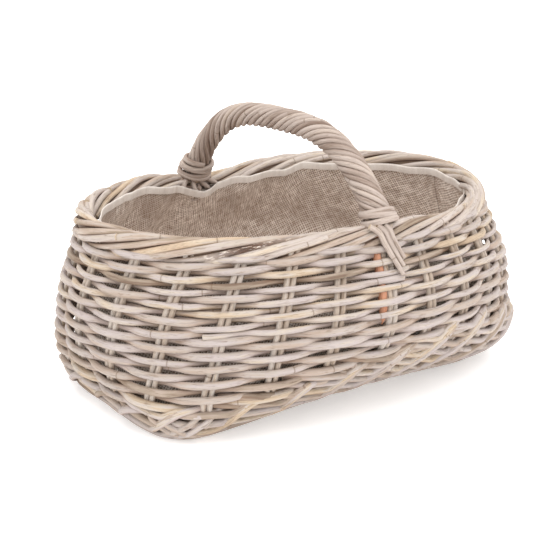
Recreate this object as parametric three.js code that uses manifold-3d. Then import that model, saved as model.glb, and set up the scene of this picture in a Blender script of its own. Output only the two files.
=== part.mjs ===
// Oblong log carrier woven from rattan rods, with a twisted carrying handle and a sewn cloth liner.
// Sizes are in millimetres. X runs along the basket, Y across it with the front at -Y, Z is up,
// and the floor is at Z = 0.
import * as THREE from "three";
import Module from "manifold-3d";

// Plan of the woven wall, measured on the middle of its thickness
const MOUTH_LENGTH = 481;
const MOUTH_WIDTH = 332;
const BELLY_LENGTH = 528;
const BELLY_WIDTH = 408;
const BASE_LENGTH = 475;
const BASE_WIDTH = 260;
const MOUTH_SQUARENESS = 2.05;
const BELLY_SQUARENESS = 2.05;
const BASE_SQUARENESS = 4.9;
const UPPER_FULLNESS = 1.5;

// Heights of the wall
const MOUTH_HEIGHT = 201.5;
const BELLY_SHARE = 0.505;
const END_DROP = 2;
const BACK_DIP = 14.5;
const FRONT_DIP = 1;
const DIP_SPREAD = 70;
const FOOT_ARCH = 14;
const LAND_SHARE = 0.86;
const WALL_STEPS = 7;

// Upright stakes, two rods side by side
const STAKE_PAIRS = 25;
const STAKE_RADIUS = 3;
const STAKE_LEG_GAP = 0.6;
const STAKE_LEAN = 35;
const LEAN_SHARE = 0.7;
const FIRST_STAKE_SHARE = 0.4325;
const FRONT_HANDLE_PAIR = 18;
const BACK_HANDLE_PAIR = 6;

// Rods woven round the stakes
const WEAVER_RADIUS = 3.2;
const WEAVERS = 7;
const ROW_GAP = 2.5;
const SEAT_GAP = 0.3;
const WEAVE_GAP = 0.86;

// Rolled border along the mouth
const BORDER_RODS = 3;
const BORDER_ROD_RADIUS = 4.8;
const BORDER_TURNS = 2;
const BORDER_STEPS = 16;

// Handle: a bow with tapered ends set into the wall, wound with rods and bound at both feet
const HANDLE_RISE = 94;
const HANDLE_FULLNESS = 3.2;
const FRONT_FOOT_LEAN = 8;
const BACK_FOOT_LEAN = 2;
const FOOT_OUT = 5;
const BOW_RADIUS = 6.8;
const BOW_NECK_RADIUS = 5;
const BOW_WALL_RADIUS = 4;
const BOW_POINT_RADIUS = 1.2;
const BOW_END_SHARE = 0.52;
const TWIST_RODS = 10;
const TWIST_ROD_RADIUS = 2.4;
const TWIST_TURNS = 3.5;
const TWIST_STEPS = 8;
const BINDING_RADIUS = 2.9;
const FRONT_BINDING_TURNS = 3;
const BACK_BINDING_TURNS = 4;
const BINDING_STEPS = 12;
const BINDING_GAP = 1.1;
const TAIL_RODS = 3;
const TAIL_RADIUS = 2.7;
const TAIL_SPACING = 8.2;
const TAIL_SWEEP = 24;
const TAIL_END_SHARE = 0.8;
const TAIL_TOP_ANGLE = 55;
const TAIL_LOW_ANGLE = 0;
const TAIL_BORDER_PART = 0.6;

// Base of the basket
const HOOP_RADIUS = 5.5;
const BASE_ROD_RADIUS = 3.2;
const BASE_LONG_RODS = 4;
const BASE_CROSS_RODS = 7;

// Cloth liner and the tape along its edge
const LINER_THICKNESS = 1.8;
const LINER_GAP = 1.6;
const LINER_TOP_SHARE = 0.9;
const LINER_LOW_SHARE = 0.1;
const TAPE_THICKNESS = 4;
const TAPE_HEIGHT = 9;
const FLOOR_MIDDLE = 0.06;
const FLOOR_EDGE = 0.8;

// Counts of steps and sides in the meshes
const ROD_SIDES = 5;
const STAKE_SIDES = 4;
const HOOP_STEPS = 60;
const HOOP_SIDES = 6;
const MAT_SIDES = 4;
const MAT_BENDS = 14;
const LINER_STEPS = 32;
const LINER_LEVELS = 5;
const FLOOR_RINGS = 4;
const TAIL_STEPS = 4;
const TAIL_WALL_STEPS = 3;
const BOW_STEPS = 20;
const BOW_SIDES = 6;
const MEASURE_STEPS = 720;
const REACH_PASSES = 8;
const SMALL_TURN = 0.02;
const SMALL_SHARE = 0.05;
const STEEP = 0.9;
const LEAST_MITRE = 0.5;
const FOLD_TURNS = [-0.5, 0, 0.5];

const wasm = await Module();
wasm.setup();

const UP = new THREE.Vector3(0, 0, 1);
const QUARTER = Math.PI / 2;
const FULL = Math.PI * 2;
const part = new THREE.Group();

const RATTAN = new THREE.MeshStandardMaterial({ color: 0xcfc1b4, roughness: 0.75, metalness: 0 });
const PALE_RATTAN = new THREE.MeshStandardMaterial({ color: 0xdad0c6, roughness: 0.75, metalness: 0 });
const PEELED_WOOD = new THREE.MeshStandardMaterial({ color: 0xd29a74, roughness: 0.7, metalness: 0 });
const HESSIAN = new THREE.MeshStandardMaterial({ color: 0xa59180, roughness: 0.95, metalness: 0 });
const TAPE_CLOTH = new THREE.MeshStandardMaterial({ color: 0xe1d8cd, roughness: 0.9, metalness: 0 });

function add(name, geometry, material) {
  const mesh = new THREE.Mesh(geometry, material.clone());
  mesh.name = name;
  part.add(mesh);
}

function mix(start, end, share) {
  return start + (end - start) * share;
}

function numbered(stem, index) {
  return stem + "_" + String(index + 1).padStart(2, "0");
}

// A closed skin through rings of equal point counts: capped at both ends, or joined end to start.
function skin(rings, joined) {
  const sides = rings[0].length;
  const points = rings.flat();
  const faces = [];
  const bands = joined ? rings.length : rings.length - 1;
  for (let band = 0; band < bands; band += 1) {
    const low = band * sides;
    const high = ((band + 1) % rings.length) * sides;
    for (let side = 0; side < sides; side += 1) {
      const next = (side + 1) % sides;
      faces.push(low + side, low + next, high + next);
      faces.push(low + side, high + next, high + side);
    }
  }
  if (!joined) {
    const last = (rings.length - 1) * sides;
    for (let side = 1; side < sides - 1; side += 1) {
      faces.push(0, side + 1, side);
      faces.push(last, last + side, last + side + 1);
    }
  }
  const geometry = new THREE.BufferGeometry().setFromPoints(points);
  geometry.setIndex(faces);
  geometry.computeVertexNormals();
  return geometry;
}

// A round rod along a path, with a radius at each point of the path.
function rod(path, radii, sides) {
  const rings = [];
  let across = null;
  for (let index = 0; index < path.length; index += 1) {
    const before = path[Math.max(index - 1, 0)];
    const after = path[Math.min(index + 1, path.length - 1)];
    const arriving = path[index].clone().sub(before).normalize();
    const leaving = after.clone().sub(path[index]).normalize();
    const along = arriving.clone().add(leaving).normalize();
    const half = Math.max(along.dot(index > 0 ? arriving : leaving), LEAST_MITRE);
    if (!across) {
      const guide = Math.abs(along.z) < STEEP ? UP : new THREE.Vector3(1, 0, 0);
      across = new THREE.Vector3().crossVectors(guide, along);
    }
    across.addScaledVector(along, -across.dot(along)).normalize();
    const lift = new THREE.Vector3().crossVectors(along, across);
    const bend = leaving.clone().sub(arriving);
    const radius = typeof radii === "number" ? radii : radii[index];
    const ring = [];
    for (let side = 0; side < sides; side += 1) {
      const turn = FULL * (side + 0.5) / sides;
      const spoke = across.clone().multiplyScalar(Math.cos(turn)).addScaledVector(lift, Math.sin(turn));
      if (bend.lengthSq() > 0) {
        const inPlane = bend.clone().normalize();
        spoke.addScaledVector(inPlane, spoke.dot(inPlane) * (1 / half - 1));
      }
      ring.push(path[index].clone().addScaledVector(spoke, radius));
    }
    rings.push(ring);
  }
  return skin(rings, false);
}

// Points at even distances along a path of points.
function spacedOut(path, steps) {
  const lengths = [0];
  for (let index = 1; index < path.length; index += 1) {
    lengths.push(lengths[index - 1] + path[index].distanceTo(path[index - 1]));
  }
  const total = lengths[lengths.length - 1];
  const spaced = [];
  let at = 0;
  for (let step = 0; step <= steps; step += 1) {
    const wanted = total * step / steps;
    while (at < path.length - 2 && lengths[at + 1] < wanted) {
      at += 1;
    }
    const share = (wanted - lengths[at]) / (lengths[at + 1] - lengths[at]);
    spaced.push(path[at].clone().lerp(path[at + 1], share));
  }
  return spaced;
}

function pathLength(path) {
  let total = 0;
  for (let index = 1; index < path.length; index += 1) {
    total += path[index].distanceTo(path[index - 1]);
  }
  return total;
}

// The wall of the basket as a smooth surface round the vertical axis.
const MOUTH = { length: MOUTH_LENGTH, width: MOUTH_WIDTH, squareness: MOUTH_SQUARENESS };
const BELLY = { length: BELLY_LENGTH, width: BELLY_WIDTH, squareness: BELLY_SQUARENESS };
const BASE = { length: BASE_LENGTH, width: BASE_WIDTH, squareness: BASE_SQUARENESS };
const HOOP_HEIGHT = HOOP_RADIUS * Math.cos(Math.PI / HOOP_SIDES);

function reach(plan, angle) {
  const along = Math.abs(Math.cos(angle)) * 2 / plan.length;
  const over = Math.abs(Math.sin(angle)) * 2 / plan.width;
  return Math.pow(Math.pow(along, plan.squareness) + Math.pow(over, plan.squareness), -1 / plan.squareness);
}

// Height of the foot above the floor: level at both ends, arched along the middle.
function archAt(x) {
  const share = Math.min(Math.abs(x) * 2 / (BASE_LENGTH * LAND_SHARE), 1);
  return FOOT_ARCH * (1 - share * share);
}

function smoothWall(angle, share) {
  const below = share < BELLY_SHARE;
  const end = below ? BASE : MOUTH;
  const climb = below ? share / BELLY_SHARE : 1 - (share - BELLY_SHARE) / (1 - BELLY_SHARE);
  const swell = Math.pow(Math.sin(climb * QUARTER), below ? 1 : UPPER_FULLNESS);
  const plan = {
    length: mix(end.length, BELLY.length, swell),
    width: mix(end.width, BELLY.width, swell),
    squareness: mix(end.squareness, BELLY.squareness, swell),
  };
  const far = reach(plan, angle);
  const footX = reach(BASE, angle) * Math.cos(angle);
  const rimX = reach(MOUTH, angle) * Math.cos(angle);
  const dip = Math.sin(angle) > 0 ? BACK_DIP : FRONT_DIP;
  const drop = END_DROP * Math.pow(rimX * 2 / MOUTH_LENGTH, 2);
  const top = MOUTH_HEIGHT - drop - dip * Math.exp(-Math.pow(rimX / DIP_SPREAD, 2));
  const z = mix(HOOP_HEIGHT + archAt(footX), top, share);
  return new THREE.Vector3(far * Math.cos(angle), far * Math.sin(angle), z);
}

// The wall between level rings, so that rods with few bends lie on it.
function wall(angle, share) {
  const scaled = share * WALL_STEPS;
  const level = Math.min(Math.max(Math.floor(scaled), 0), WALL_STEPS - 1);
  const low = smoothWall(angle, level / WALL_STEPS);
  const high = smoothWall(angle, (level + 1) / WALL_STEPS);
  return low.lerp(high, scaled - level);
}

function wallAlong(angle, share) {
  return wall(angle + SMALL_TURN, share).sub(wall(angle - SMALL_TURN, share)).normalize();
}

function wallUp(angle, share) {
  const high = Math.min(share + SMALL_SHARE, 1);
  const low = Math.max(share - SMALL_SHARE, 0);
  return wall(angle, high).sub(wall(angle, low)).normalize();
}

function wallOut(angle, share) {
  return wallAlong(angle, share).cross(wallUp(angle, share)).normalize();
}

// Angles of the stakes, evenly spaced along the belly of the basket.
function evenAngles() {
  const lengths = [0];
  for (let step = 1; step <= MEASURE_STEPS; step += 1) {
    const here = wall(FULL * step / MEASURE_STEPS, BELLY_SHARE);
    const before = wall(FULL * (step - 1) / MEASURE_STEPS, BELLY_SHARE);
    lengths.push(lengths[step - 1] + here.distanceTo(before));
  }
  const total = lengths[MEASURE_STEPS];
  const angles = [];
  for (let pair = 0; pair < STAKE_PAIRS; pair += 1) {
    const wanted = total * (((pair + FIRST_STAKE_SHARE) / STAKE_PAIRS + 1) % 1);
    const at = Math.min(lengths.findIndex((length) => length > wanted), MEASURE_STEPS);
    const share = (wanted - lengths[at - 1]) / (lengths[at] - lengths[at - 1]);
    angles.push(FULL * (at - 1 + share) / MEASURE_STEPS);
  }
  return angles;
}

const PAIR_ANGLES = evenAngles();

// Angle of a place beside a stake pair, a distance along the wall from the pair's own line.
function placeAngle(pair, share, aside) {
  const angle = PAIR_ANGLES[pair];
  const belly = reach(BELLY, angle);
  const leaning = angle + STAKE_LEAN * (share - LEAN_SHARE) / belly;
  const point = wall(leaning, share);
  const along = wallAlong(leaning, share);
  const place = point.addScaledVector(along, aside);
  return Math.atan2(place.y, place.x);
}

const LEG_ASIDE = STAKE_RADIUS + STAKE_LEG_GAP / 2;
const PAIR_HALF = LEG_ASIDE + STAKE_RADIUS;
const PAIR_SHIFT = BOW_WALL_RADIUS + SEAT_GAP;
const BOW_SHIFT = PAIR_HALF + SEAT_GAP;
const BOW_ROOM = PAIR_SHIFT + LEG_ASIDE;

function hasBow(pair) {
  return pair === FRONT_HANDLE_PAIR || pair === BACK_HANDLE_PAIR;
}

// Side of its stake pair on which the bow's end sits: towards the left end of the basket behind.
function bowSide(pair) {
  return pair === BACK_HANDLE_PAIR ? 1 : -1;
}

function pairShift(pair) {
  return hasBow(pair) ? -bowSide(pair) * PAIR_SHIFT : 0;
}

// Least length of wall from foot to mouth, and least distance between neighbouring stakes.
function leastClimb() {
  let least = Infinity;
  for (const angle of PAIR_ANGLES) {
    const line = [];
    for (let step = 0; step <= WALL_STEPS; step += 1) {
      line.push(wall(angle, step / WALL_STEPS));
    }
    least = Math.min(least, pathLength(line));
  }
  return least;
}

function leastSpacing() {
  let least = Infinity;
  for (let pair = 0; pair < STAKE_PAIRS; pair += 1) {
    const next = (pair + 1) % STAKE_PAIRS;
    for (let step = 0; step <= WALL_STEPS; step += 1) {
      const share = step / WALL_STEPS;
      const here = wall(placeAngle(pair, share, 0), share);
      least = Math.min(least, here.distanceTo(wall(placeAngle(next, share, 0), share)));
    }
  }
  return least;
}

const CLIMB = leastClimb();
const SPACING = leastSpacing();

// Distance of a woven rod's middle from the wall's middle, so that its slope clears an upright.
// The turn is how far the wall bends round at the stake, as seen from the side that the rod lies on,
// and aside is how far the upright stands from the bend of the woven rod.
function weaveReach(spacing, turn, radius, aside) {
  const needed = radius + WEAVER_RADIUS + WEAVE_GAP;
  let distance = needed;
  for (let pass = 0; pass < REACH_PASSES; pass += 1) {
    const slope = Math.max(Math.atan2(2 * distance, spacing) + turn / 2, 0);
    distance = needed / Math.cos(slope) + aside * Math.tan(slope);
  }
  return distance;
}

const WEAVE_REACH = Math.max(
  weaveReach(SPACING, 0, STAKE_RADIUS, LEG_ASIDE),
  weaveReach(SPACING, 0, BOW_WALL_RADIUS, 0),
);
const BORDER_REACH = (BORDER_ROD_RADIUS + SEAT_GAP)
  / Math.sin(Math.PI / BORDER_RODS) / Math.cos(Math.PI / BORDER_STEPS);
const BORDER_RADIUS = BORDER_REACH + BORDER_ROD_RADIUS;

// Stake pairs: one rod folded at the foot, both legs running up the wall to the border.
const BORDER_FOOT = 1 - BORDER_RADIUS / CLIMB;
const STAKE_TOP = BORDER_FOOT - (WEAVE_GAP + SEAT_GAP) / CLIMB;
const FOLD_DISTANCE = HOOP_RADIUS + STAKE_RADIUS;
const LEG_FOOT = (FOLD_DISTANCE + LEG_ASIDE) / CLIMB;

function stakeLeg(pair, side) {
  const shares = [LEG_FOOT];
  for (let step = 1; step < WALL_STEPS; step += 1) {
    const share = step / WALL_STEPS;
    if (share > LEG_FOOT + SMALL_SHARE && share < STAKE_TOP - SMALL_SHARE) {
      shares.push(share);
    }
  }
  shares.push(STAKE_TOP);
  return shares.map((share) => wall(placeAngle(pair, share, pairShift(pair) + side * LEG_ASIDE), share));
}

for (let pair = 0; pair < STAKE_PAIRS; pair += 1) {
  const left = stakeLeg(pair, -1);
  const right = stakeLeg(pair, 1);
  const centre = left[0].clone().lerp(right[0], 0.5);
  const aside = right[0].clone().sub(left[0]).multiplyScalar(0.5);
  const down = left[0].clone().sub(left[1]).normalize();
  const fold = FOLD_TURNS.map((turn) => {
    const place = centre.clone().addScaledVector(aside, Math.sin(turn * QUARTER));
    return place.addScaledVector(down, LEG_ASIDE * Math.cos(turn * QUARTER));
  });
  const path = [...left.reverse(), ...fold, ...right];
  add(numbered("stake_pair", pair), rod(path, STAKE_RADIUS, STAKE_SIDES), RATTAN);
}

// Woven rods: one spiral over one stake pair and under the next, cut into rods behind the stakes.
const ROW_PITCH = (2 * WEAVER_RADIUS + ROW_GAP) / CLIMB;
const FIRST_ROW = (HOOP_RADIUS + WEAVER_RADIUS + 2 * WEAVE_GAP) / CLIMB;
const LAST_ROW = 1 - (BORDER_RADIUS + WEAVER_RADIUS + WEAVE_GAP) / CLIMB;
const CROSSINGS = Math.floor((LAST_ROW - FIRST_ROW) / ROW_PITCH * STAKE_PAIRS);
const ROD_CROSSINGS = 2 * Math.ceil(CROSSINGS / WEAVERS / 2);

// Reach of a woven rod at one stake pair, from the places of the pairs on both sides of it.
function localReach(pair, share, side) {
  const before = (pair + STAKE_PAIRS - 1) % STAKE_PAIRS;
  const after = (pair + 1) % STAKE_PAIRS;
  const here = wall(placeAngle(pair, share, 0), share);
  const arriving = here.clone().sub(wall(placeAngle(before, share, 0), share));
  const leaving = wall(placeAngle(after, share, 0), share).sub(here);
  const afterBow = hasBow(before) ? BOW_ROOM : 0;
  const beforeBow = hasBow(after) ? BOW_ROOM : 0;
  const spacing = Math.min(arriving.length() - afterBow, leaving.length() - beforeBow);
  const turn = side * arriving.angleTo(leaving);
  if (hasBow(pair)) {
    return weaveReach(spacing - PAIR_SHIFT - PAIR_HALF, turn, BOW_WALL_RADIUS, 0);
  }
  return weaveReach(spacing, turn, STAKE_RADIUS, LEG_ASIDE);
}

function crossing(count) {
  const pair = count % STAKE_PAIRS;
  const share = FIRST_ROW + ROW_PITCH * count / STAKE_PAIRS;
  const side = count % 2 === 0 ? -1 : 1;
  const far = side * localReach(pair, share, side);
  const onBow = bowSide(pair) * BOW_SHIFT;
  const onPair = -bowSide(pair) * BOW_ROOM;
  const asides = hasBow(pair) ? [Math.min(onBow, onPair), Math.max(onBow, onPair)] : [0];
  return asides.map((aside) => {
    const angle = placeAngle(pair, share, aside);
    return wall(angle, share).addScaledVector(wallOut(angle, share), far);
  });
}

const WEAVER_TRIM = WEAVER_RADIUS + WEAVE_GAP;
for (let weaver = 0; weaver < WEAVERS; weaver += 1) {
  const first = weaver * ROD_CROSSINGS;
  const last = Math.min(first + ROD_CROSSINGS, CROSSINGS - CROSSINGS % 2);
  const path = crossing(first).slice(-1);
  for (let count = first + 1; count < last; count += 1) {
    path.push(...crossing(count));
  }
  path.push(crossing(last)[0]);
  const end = path.length - 1;
  path[0].add(path[1].clone().sub(path[0]).setLength(WEAVER_TRIM));
  path[end].add(path[end - 1].clone().sub(path[end]).setLength(WEAVER_TRIM));
  add(numbered("weaver", weaver), rod(path, WEAVER_RADIUS, ROD_SIDES), PALE_RATTAN);
}

// Bow of the handle, from one tapered end in the wall over the basket to the other.
// Its foot stands a little aside and out on the border.
function bowLeg(pair, lean) {
  const aside = bowSide(pair) * BOW_SHIFT;
  const footAngle = placeAngle(pair, 1, aside + lean);
  const outward = wallAlong(footAngle, 1).cross(UP).normalize();
  const leg = [wall(footAngle, 1).addScaledVector(outward, FOOT_OUT)];
  for (let step = 0; step < WALL_STEPS; step += 1) {
    const share = mix(BORDER_FOOT + WEAVE_GAP / CLIMB, BOW_END_SHARE, step / (WALL_STEPS - 1));
    leg.push(wall(placeAngle(pair, share, aside), share));
  }
  return leg;
}

const FRONT_LEG = bowLeg(FRONT_HANDLE_PAIR, FRONT_FOOT_LEAN);
const BACK_LEG = bowLeg(BACK_HANDLE_PAIR, BACK_FOOT_LEAN);
const FRONT_FOOT = FRONT_LEG[0];
const BACK_FOOT = BACK_LEG[0];
const archLine = [];
for (let step = 0; step <= MEASURE_STEPS; step += 1) {
  const share = step / MEASURE_STEPS;
  const point = FRONT_FOOT.clone().lerp(BACK_FOOT, share);
  const top = Math.max(FRONT_FOOT.z, BACK_FOOT.z);
  const fall = Math.pow(Math.abs(2 * share - 1), HANDLE_FULLNESS);
  point.z = mix(top + HANDLE_RISE, point.z, fall);
  archLine.push(point);
}
const ARCH_LENGTH = pathLength(archLine);
const ARCH = spacedOut(archLine, MEASURE_STEPS);

// Frame of the arch at a distance along it: point, direction, sideways and outward.
function archFrame(distance) {
  const place = distance / ARCH_LENGTH * MEASURE_STEPS;
  const at = Math.min(Math.max(Math.floor(place), 1), MEASURE_STEPS - 2);
  const point = ARCH[at].clone().lerp(ARCH[at + 1], place - at);
  const along = ARCH[at + 1].clone().sub(ARCH[at - 1]).normalize();
  const sideways = new THREE.Vector3().crossVectors(along, UP).normalize();
  const outward = new THREE.Vector3().crossVectors(sideways, along);
  return { point, along, sideways, outward };
}

const TWIST_REACH = (BOW_RADIUS + TWIST_ROD_RADIUS + SEAT_GAP) / Math.cos(Math.PI / TWIST_STEPS);
const TWIST_START = BORDER_RADIUS + FOOT_OUT + TWIST_ROD_RADIUS + SEAT_GAP;
const bowPath = [];
const bowRadii = [];
for (let step = WALL_STEPS; step > 0; step -= 1) {
  bowPath.push(FRONT_LEG[step]);
  bowRadii.push(step === WALL_STEPS ? BOW_POINT_RADIUS : BOW_WALL_RADIUS);
}
for (let step = 0; step <= BOW_STEPS; step += 1) {
  const distance = ARCH_LENGTH * step / BOW_STEPS;
  const grown = Math.min(Math.min(distance, ARCH_LENGTH - distance) / TWIST_START, 1);
  bowPath.push(archFrame(distance).point);
  bowRadii.push(mix(BOW_NECK_RADIUS, BOW_RADIUS, grown));
}
for (let step = 1; step <= WALL_STEPS; step += 1) {
  bowPath.push(BACK_LEG[step]);
  bowRadii.push(step === WALL_STEPS ? BOW_POINT_RADIUS : BOW_WALL_RADIUS);
}
add("handle_bow", rod(bowPath, bowRadii, BOW_SIDES), PEELED_WOOD);

// Least free distance between the loops of a wound rod, measured between points of its path.
function leastLoopGap(path, radius, loopSteps) {
  let least = Infinity;
  for (let here = 0; here < path.length; here += 1) {
    for (let there = here + Math.ceil(loopSteps / 2); there < path.length; there += 1) {
      least = Math.min(least, path[here].distanceTo(path[there]));
    }
  }
  return least - 2 * radius;
}

// A point wound round the arch at a distance along it.
function woundPoint(distance, turn, far) {
  const frame = archFrame(distance);
  const point = frame.point.addScaledVector(frame.sideways, far * Math.cos(turn));
  return point.addScaledVector(frame.outward, far * Math.sin(turn));
}

// Rods twisted side by side round the bow.
const twistSteps = Math.round(TWIST_TURNS * TWIST_STEPS);
for (let strand = 0; strand < TWIST_RODS; strand += 1) {
  const path = [];
  for (let step = 0; step <= twistSteps; step += 1) {
    const share = step / twistSteps;
    const distance = mix(TWIST_START, ARCH_LENGTH - TWIST_START, share);
    const turn = FULL * (strand / TWIST_RODS + TWIST_TURNS * share);
    path.push(woundPoint(distance, turn, TWIST_REACH));
  }
  const gap = leastLoopGap(path, TWIST_ROD_RADIUS, TWIST_STEPS);
  console.log(numbered("handle_twist", strand), "least gap between its own turns", gap.toFixed(2), "mm");
  add(numbered("handle_twist", strand), rod(path, TWIST_ROD_RADIUS, ROD_SIDES), RATTAN);
}

// Bindings wound round both feet of the handle.
const BINDING_REACH = (TWIST_REACH + TWIST_ROD_RADIUS + BINDING_RADIUS + SEAT_GAP)
  / Math.cos(Math.PI / BINDING_STEPS);
const BINDING_PITCH = 2 * BINDING_RADIUS + BINDING_GAP;
const BINDING_START = TWIST_START + BINDING_RADIUS;
for (const end of ["front", "back"]) {
  const rounds = end === "front" ? FRONT_BINDING_TURNS : BACK_BINDING_TURNS;
  const steps = Math.round(rounds * BINDING_STEPS);
  const path = [];
  for (let step = 0; step <= steps; step += 1) {
    const turns = step / BINDING_STEPS;
    const along = BINDING_START + BINDING_PITCH * turns;
    const distance = end === "front" ? along : ARCH_LENGTH - along;
    path.push(woundPoint(distance, FULL * turns, BINDING_REACH));
  }
  const gap = leastLoopGap(path, BINDING_RADIUS, BINDING_STEPS);
  console.log("handle_binding_" + end, "least gap between its own turns", gap.toFixed(2), "mm");
  add("handle_binding_" + end, rod(path, BINDING_RADIUS, ROD_SIDES), PALE_RATTAN);
}

// Border: rods rolled round each other along the mouth, from one foot of the handle to the other.
function rimFrame(angle) {
  const along = wallAlong(angle, 1);
  const outward = new THREE.Vector3().crossVectors(along, UP).normalize();
  const lift = new THREE.Vector3().crossVectors(outward, along);
  return { point: wall(angle, 1), outward, lift };
}

function rimPoint(angle, turn, far) {
  const frame = rimFrame(angle);
  const point = frame.point.addScaledVector(frame.outward, far * Math.cos(turn));
  return point.addScaledVector(frame.lift, far * Math.sin(turn));
}

const SLOT_HALF = BOW_NECK_RADIUS + BORDER_ROD_RADIUS / 2 + WEAVE_GAP;
const FRONT_ANGLE = Math.atan2(FRONT_FOOT.y, FRONT_FOOT.x);
const BACK_ANGLE = Math.atan2(BACK_FOOT.y, BACK_FOOT.x);
const FRONT_FAR = Math.hypot(FRONT_FOOT.x, FRONT_FOOT.y);
const BACK_FAR = Math.hypot(BACK_FOOT.x, BACK_FOOT.y);
const FRONT_SLOT = -SLOT_HALF - FRONT_FOOT_LEAN;
const BACK_SLOT = -SLOT_HALF - BACK_FOOT_LEAN;
const BORDER_SIDES = [
  { name: "right", from: FRONT_ANGLE + SLOT_HALF / FRONT_FAR, to: BACK_ANGLE + BACK_SLOT / BACK_FAR },
  { name: "left", from: BACK_ANGLE + SLOT_HALF / BACK_FAR, to: FRONT_ANGLE + FULL + FRONT_SLOT / FRONT_FAR },
];
for (const side of BORDER_SIDES) {
  const line = [];
  for (let step = 0; step <= MEASURE_STEPS; step += 1) {
    line.push(wall(mix(side.from, side.to, step / MEASURE_STEPS), 1));
  }
  const steps = BORDER_TURNS * BORDER_STEPS;
  const middle = spacedOut(line, steps);
  for (let strand = 0; strand < BORDER_RODS; strand += 1) {
    const path = middle.map((point, step) => {
      const turn = FULL * (strand / BORDER_RODS + step / BORDER_STEPS);
      return rimPoint(Math.atan2(point.y, point.x), turn, BORDER_REACH);
    });
    add(numbered("border_" + side.name, strand), rod(path, BORDER_ROD_RADIUS, ROD_SIDES), PALE_RATTAN);
  }
}

// Tails of the twisted rods, laid over the border in front and tucked against the weave.
const TAIL_REACH = BORDER_RADIUS + TAIL_RADIUS + SEAT_GAP;
for (let tail = 0; tail < TAIL_RODS; tail += 1) {
  const start = (tail - (TAIL_RODS - 1) / 2) * TAIL_SPACING;
  const path = [];
  for (let step = 0; step <= TAIL_STEPS; step += 1) {
    const share = step / TAIL_STEPS;
    const aside = start + TAIL_SWEEP * TAIL_BORDER_PART * share;
    const turn = THREE.MathUtils.degToRad(mix(TAIL_TOP_ANGLE, TAIL_LOW_ANGLE, share));
    path.push(rimPoint(FRONT_ANGLE + aside / FRONT_FAR, turn, TAIL_REACH));
  }
  const proud = WEAVE_REACH + WEAVER_RADIUS + TAIL_RADIUS + SEAT_GAP;
  for (let step = 1; step <= TAIL_WALL_STEPS; step += 1) {
    const share = mix(1, TAIL_END_SHARE, step / TAIL_WALL_STEPS);
    const aside = start + TAIL_SWEEP * mix(TAIL_BORDER_PART, 1, step / TAIL_WALL_STEPS);
    const angle = FRONT_ANGLE + aside / FRONT_FAR;
    path.push(wall(angle, share).addScaledVector(wallOut(angle, share), proud));
  }
  add(numbered("handle_tail", tail), rod(path, TAIL_RADIUS, ROD_SIDES), PALE_RATTAN);
}

// Base hoop: six sided, one side down, so that both level ends stand flat on the floor.
const hoopRings = [];
for (let step = 0; step < HOOP_STEPS; step += 1) {
  const angle = FULL * step / HOOP_STEPS;
  const centre = wall(angle, 0);
  const outward = wallAlong(angle, 0).cross(UP).normalize();
  const ring = [];
  for (let side = 0; side < HOOP_SIDES; side += 1) {
    const turn = -FULL * side / HOOP_SIDES;
    const point = centre.clone().addScaledVector(outward, HOOP_RADIUS * Math.cos(turn));
    ring.push(point.addScaledVector(UP, HOOP_RADIUS * Math.sin(turn)));
  }
  hoopRings.push(ring);
}
add("base_hoop", skin(hoopRings, true), RATTAN);

// Base mat: long rods and cross rods let into each other inside the hoop.
function baseRod(from, to, bends) {
  const path = [];
  for (let step = 0; step <= bends; step += 1) {
    const point = from.clone().lerp(to, step / bends);
    point.z = HOOP_HEIGHT + archAt(point.x);
    path.push(point);
  }
  return rod(path, BASE_ROD_RADIUS, MAT_SIDES);
}

function solidOf(geometry) {
  const mesh = new wasm.Mesh({
    numProp: 3,
    vertProperties: new Float32Array(geometry.getAttribute("position").array),
    triVerts: new Uint32Array(geometry.index.array),
  });
  return new wasm.Manifold(mesh);
}

function geometryOf(solid) {
  const mesh = solid.getMesh();
  const geometry = new THREE.BufferGeometry();
  geometry.setAttribute("position", new THREE.BufferAttribute(new Float32Array(mesh.vertProperties), 3));
  geometry.setIndex(new THREE.BufferAttribute(new Uint32Array(mesh.triVerts), 1));
  geometry.computeVertexNormals();
  return geometry;
}

// Half length of a base rod, at a share of the half width across it, cut short of the hoop.
function matReach(half, over, share) {
  const chord = (place) => {
    const left = 1 - Math.pow(Math.abs(place), BASE_SQUARENESS);
    return half * Math.pow(left, 1 / BASE_SQUARENESS);
  };
  const slope = (chord(share + SMALL_SHARE) - chord(share - SMALL_SHARE)) / (2 * SMALL_SHARE * over);
  const oblique = Math.atan(Math.abs(slope));
  const short = (HOOP_RADIUS + 2 * WEAVE_GAP) / Math.cos(oblique) + BASE_ROD_RADIUS * Math.tan(oblique);
  return chord(share) - short;
}

const matRods = [];
for (let long = 0; long < BASE_LONG_RODS; long += 1) {
  const share = mix(-1, 1, (long + 1) / (BASE_LONG_RODS + 1));
  const x = matReach(BASE_LENGTH / 2, BASE_WIDTH / 2, share);
  const y = share * BASE_WIDTH / 2;
  matRods.push(baseRod(new THREE.Vector3(-x, y, 0), new THREE.Vector3(x, y, 0), MAT_BENDS));
}
for (let cross = 0; cross < BASE_CROSS_RODS; cross += 1) {
  const share = mix(-1, 1, (cross + 1) / (BASE_CROSS_RODS + 1));
  const x = share * BASE_LENGTH / 2;
  const y = matReach(BASE_WIDTH / 2, BASE_LENGTH / 2, share);
  matRods.push(baseRod(new THREE.Vector3(x, -y, 0), new THREE.Vector3(x, y, 0), 1));
}
const mat = matRods.map(solidOf).reduce((whole, piece) => whole.add(piece));
add("base_mat", geometryOf(mat), RATTAN);

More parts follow.
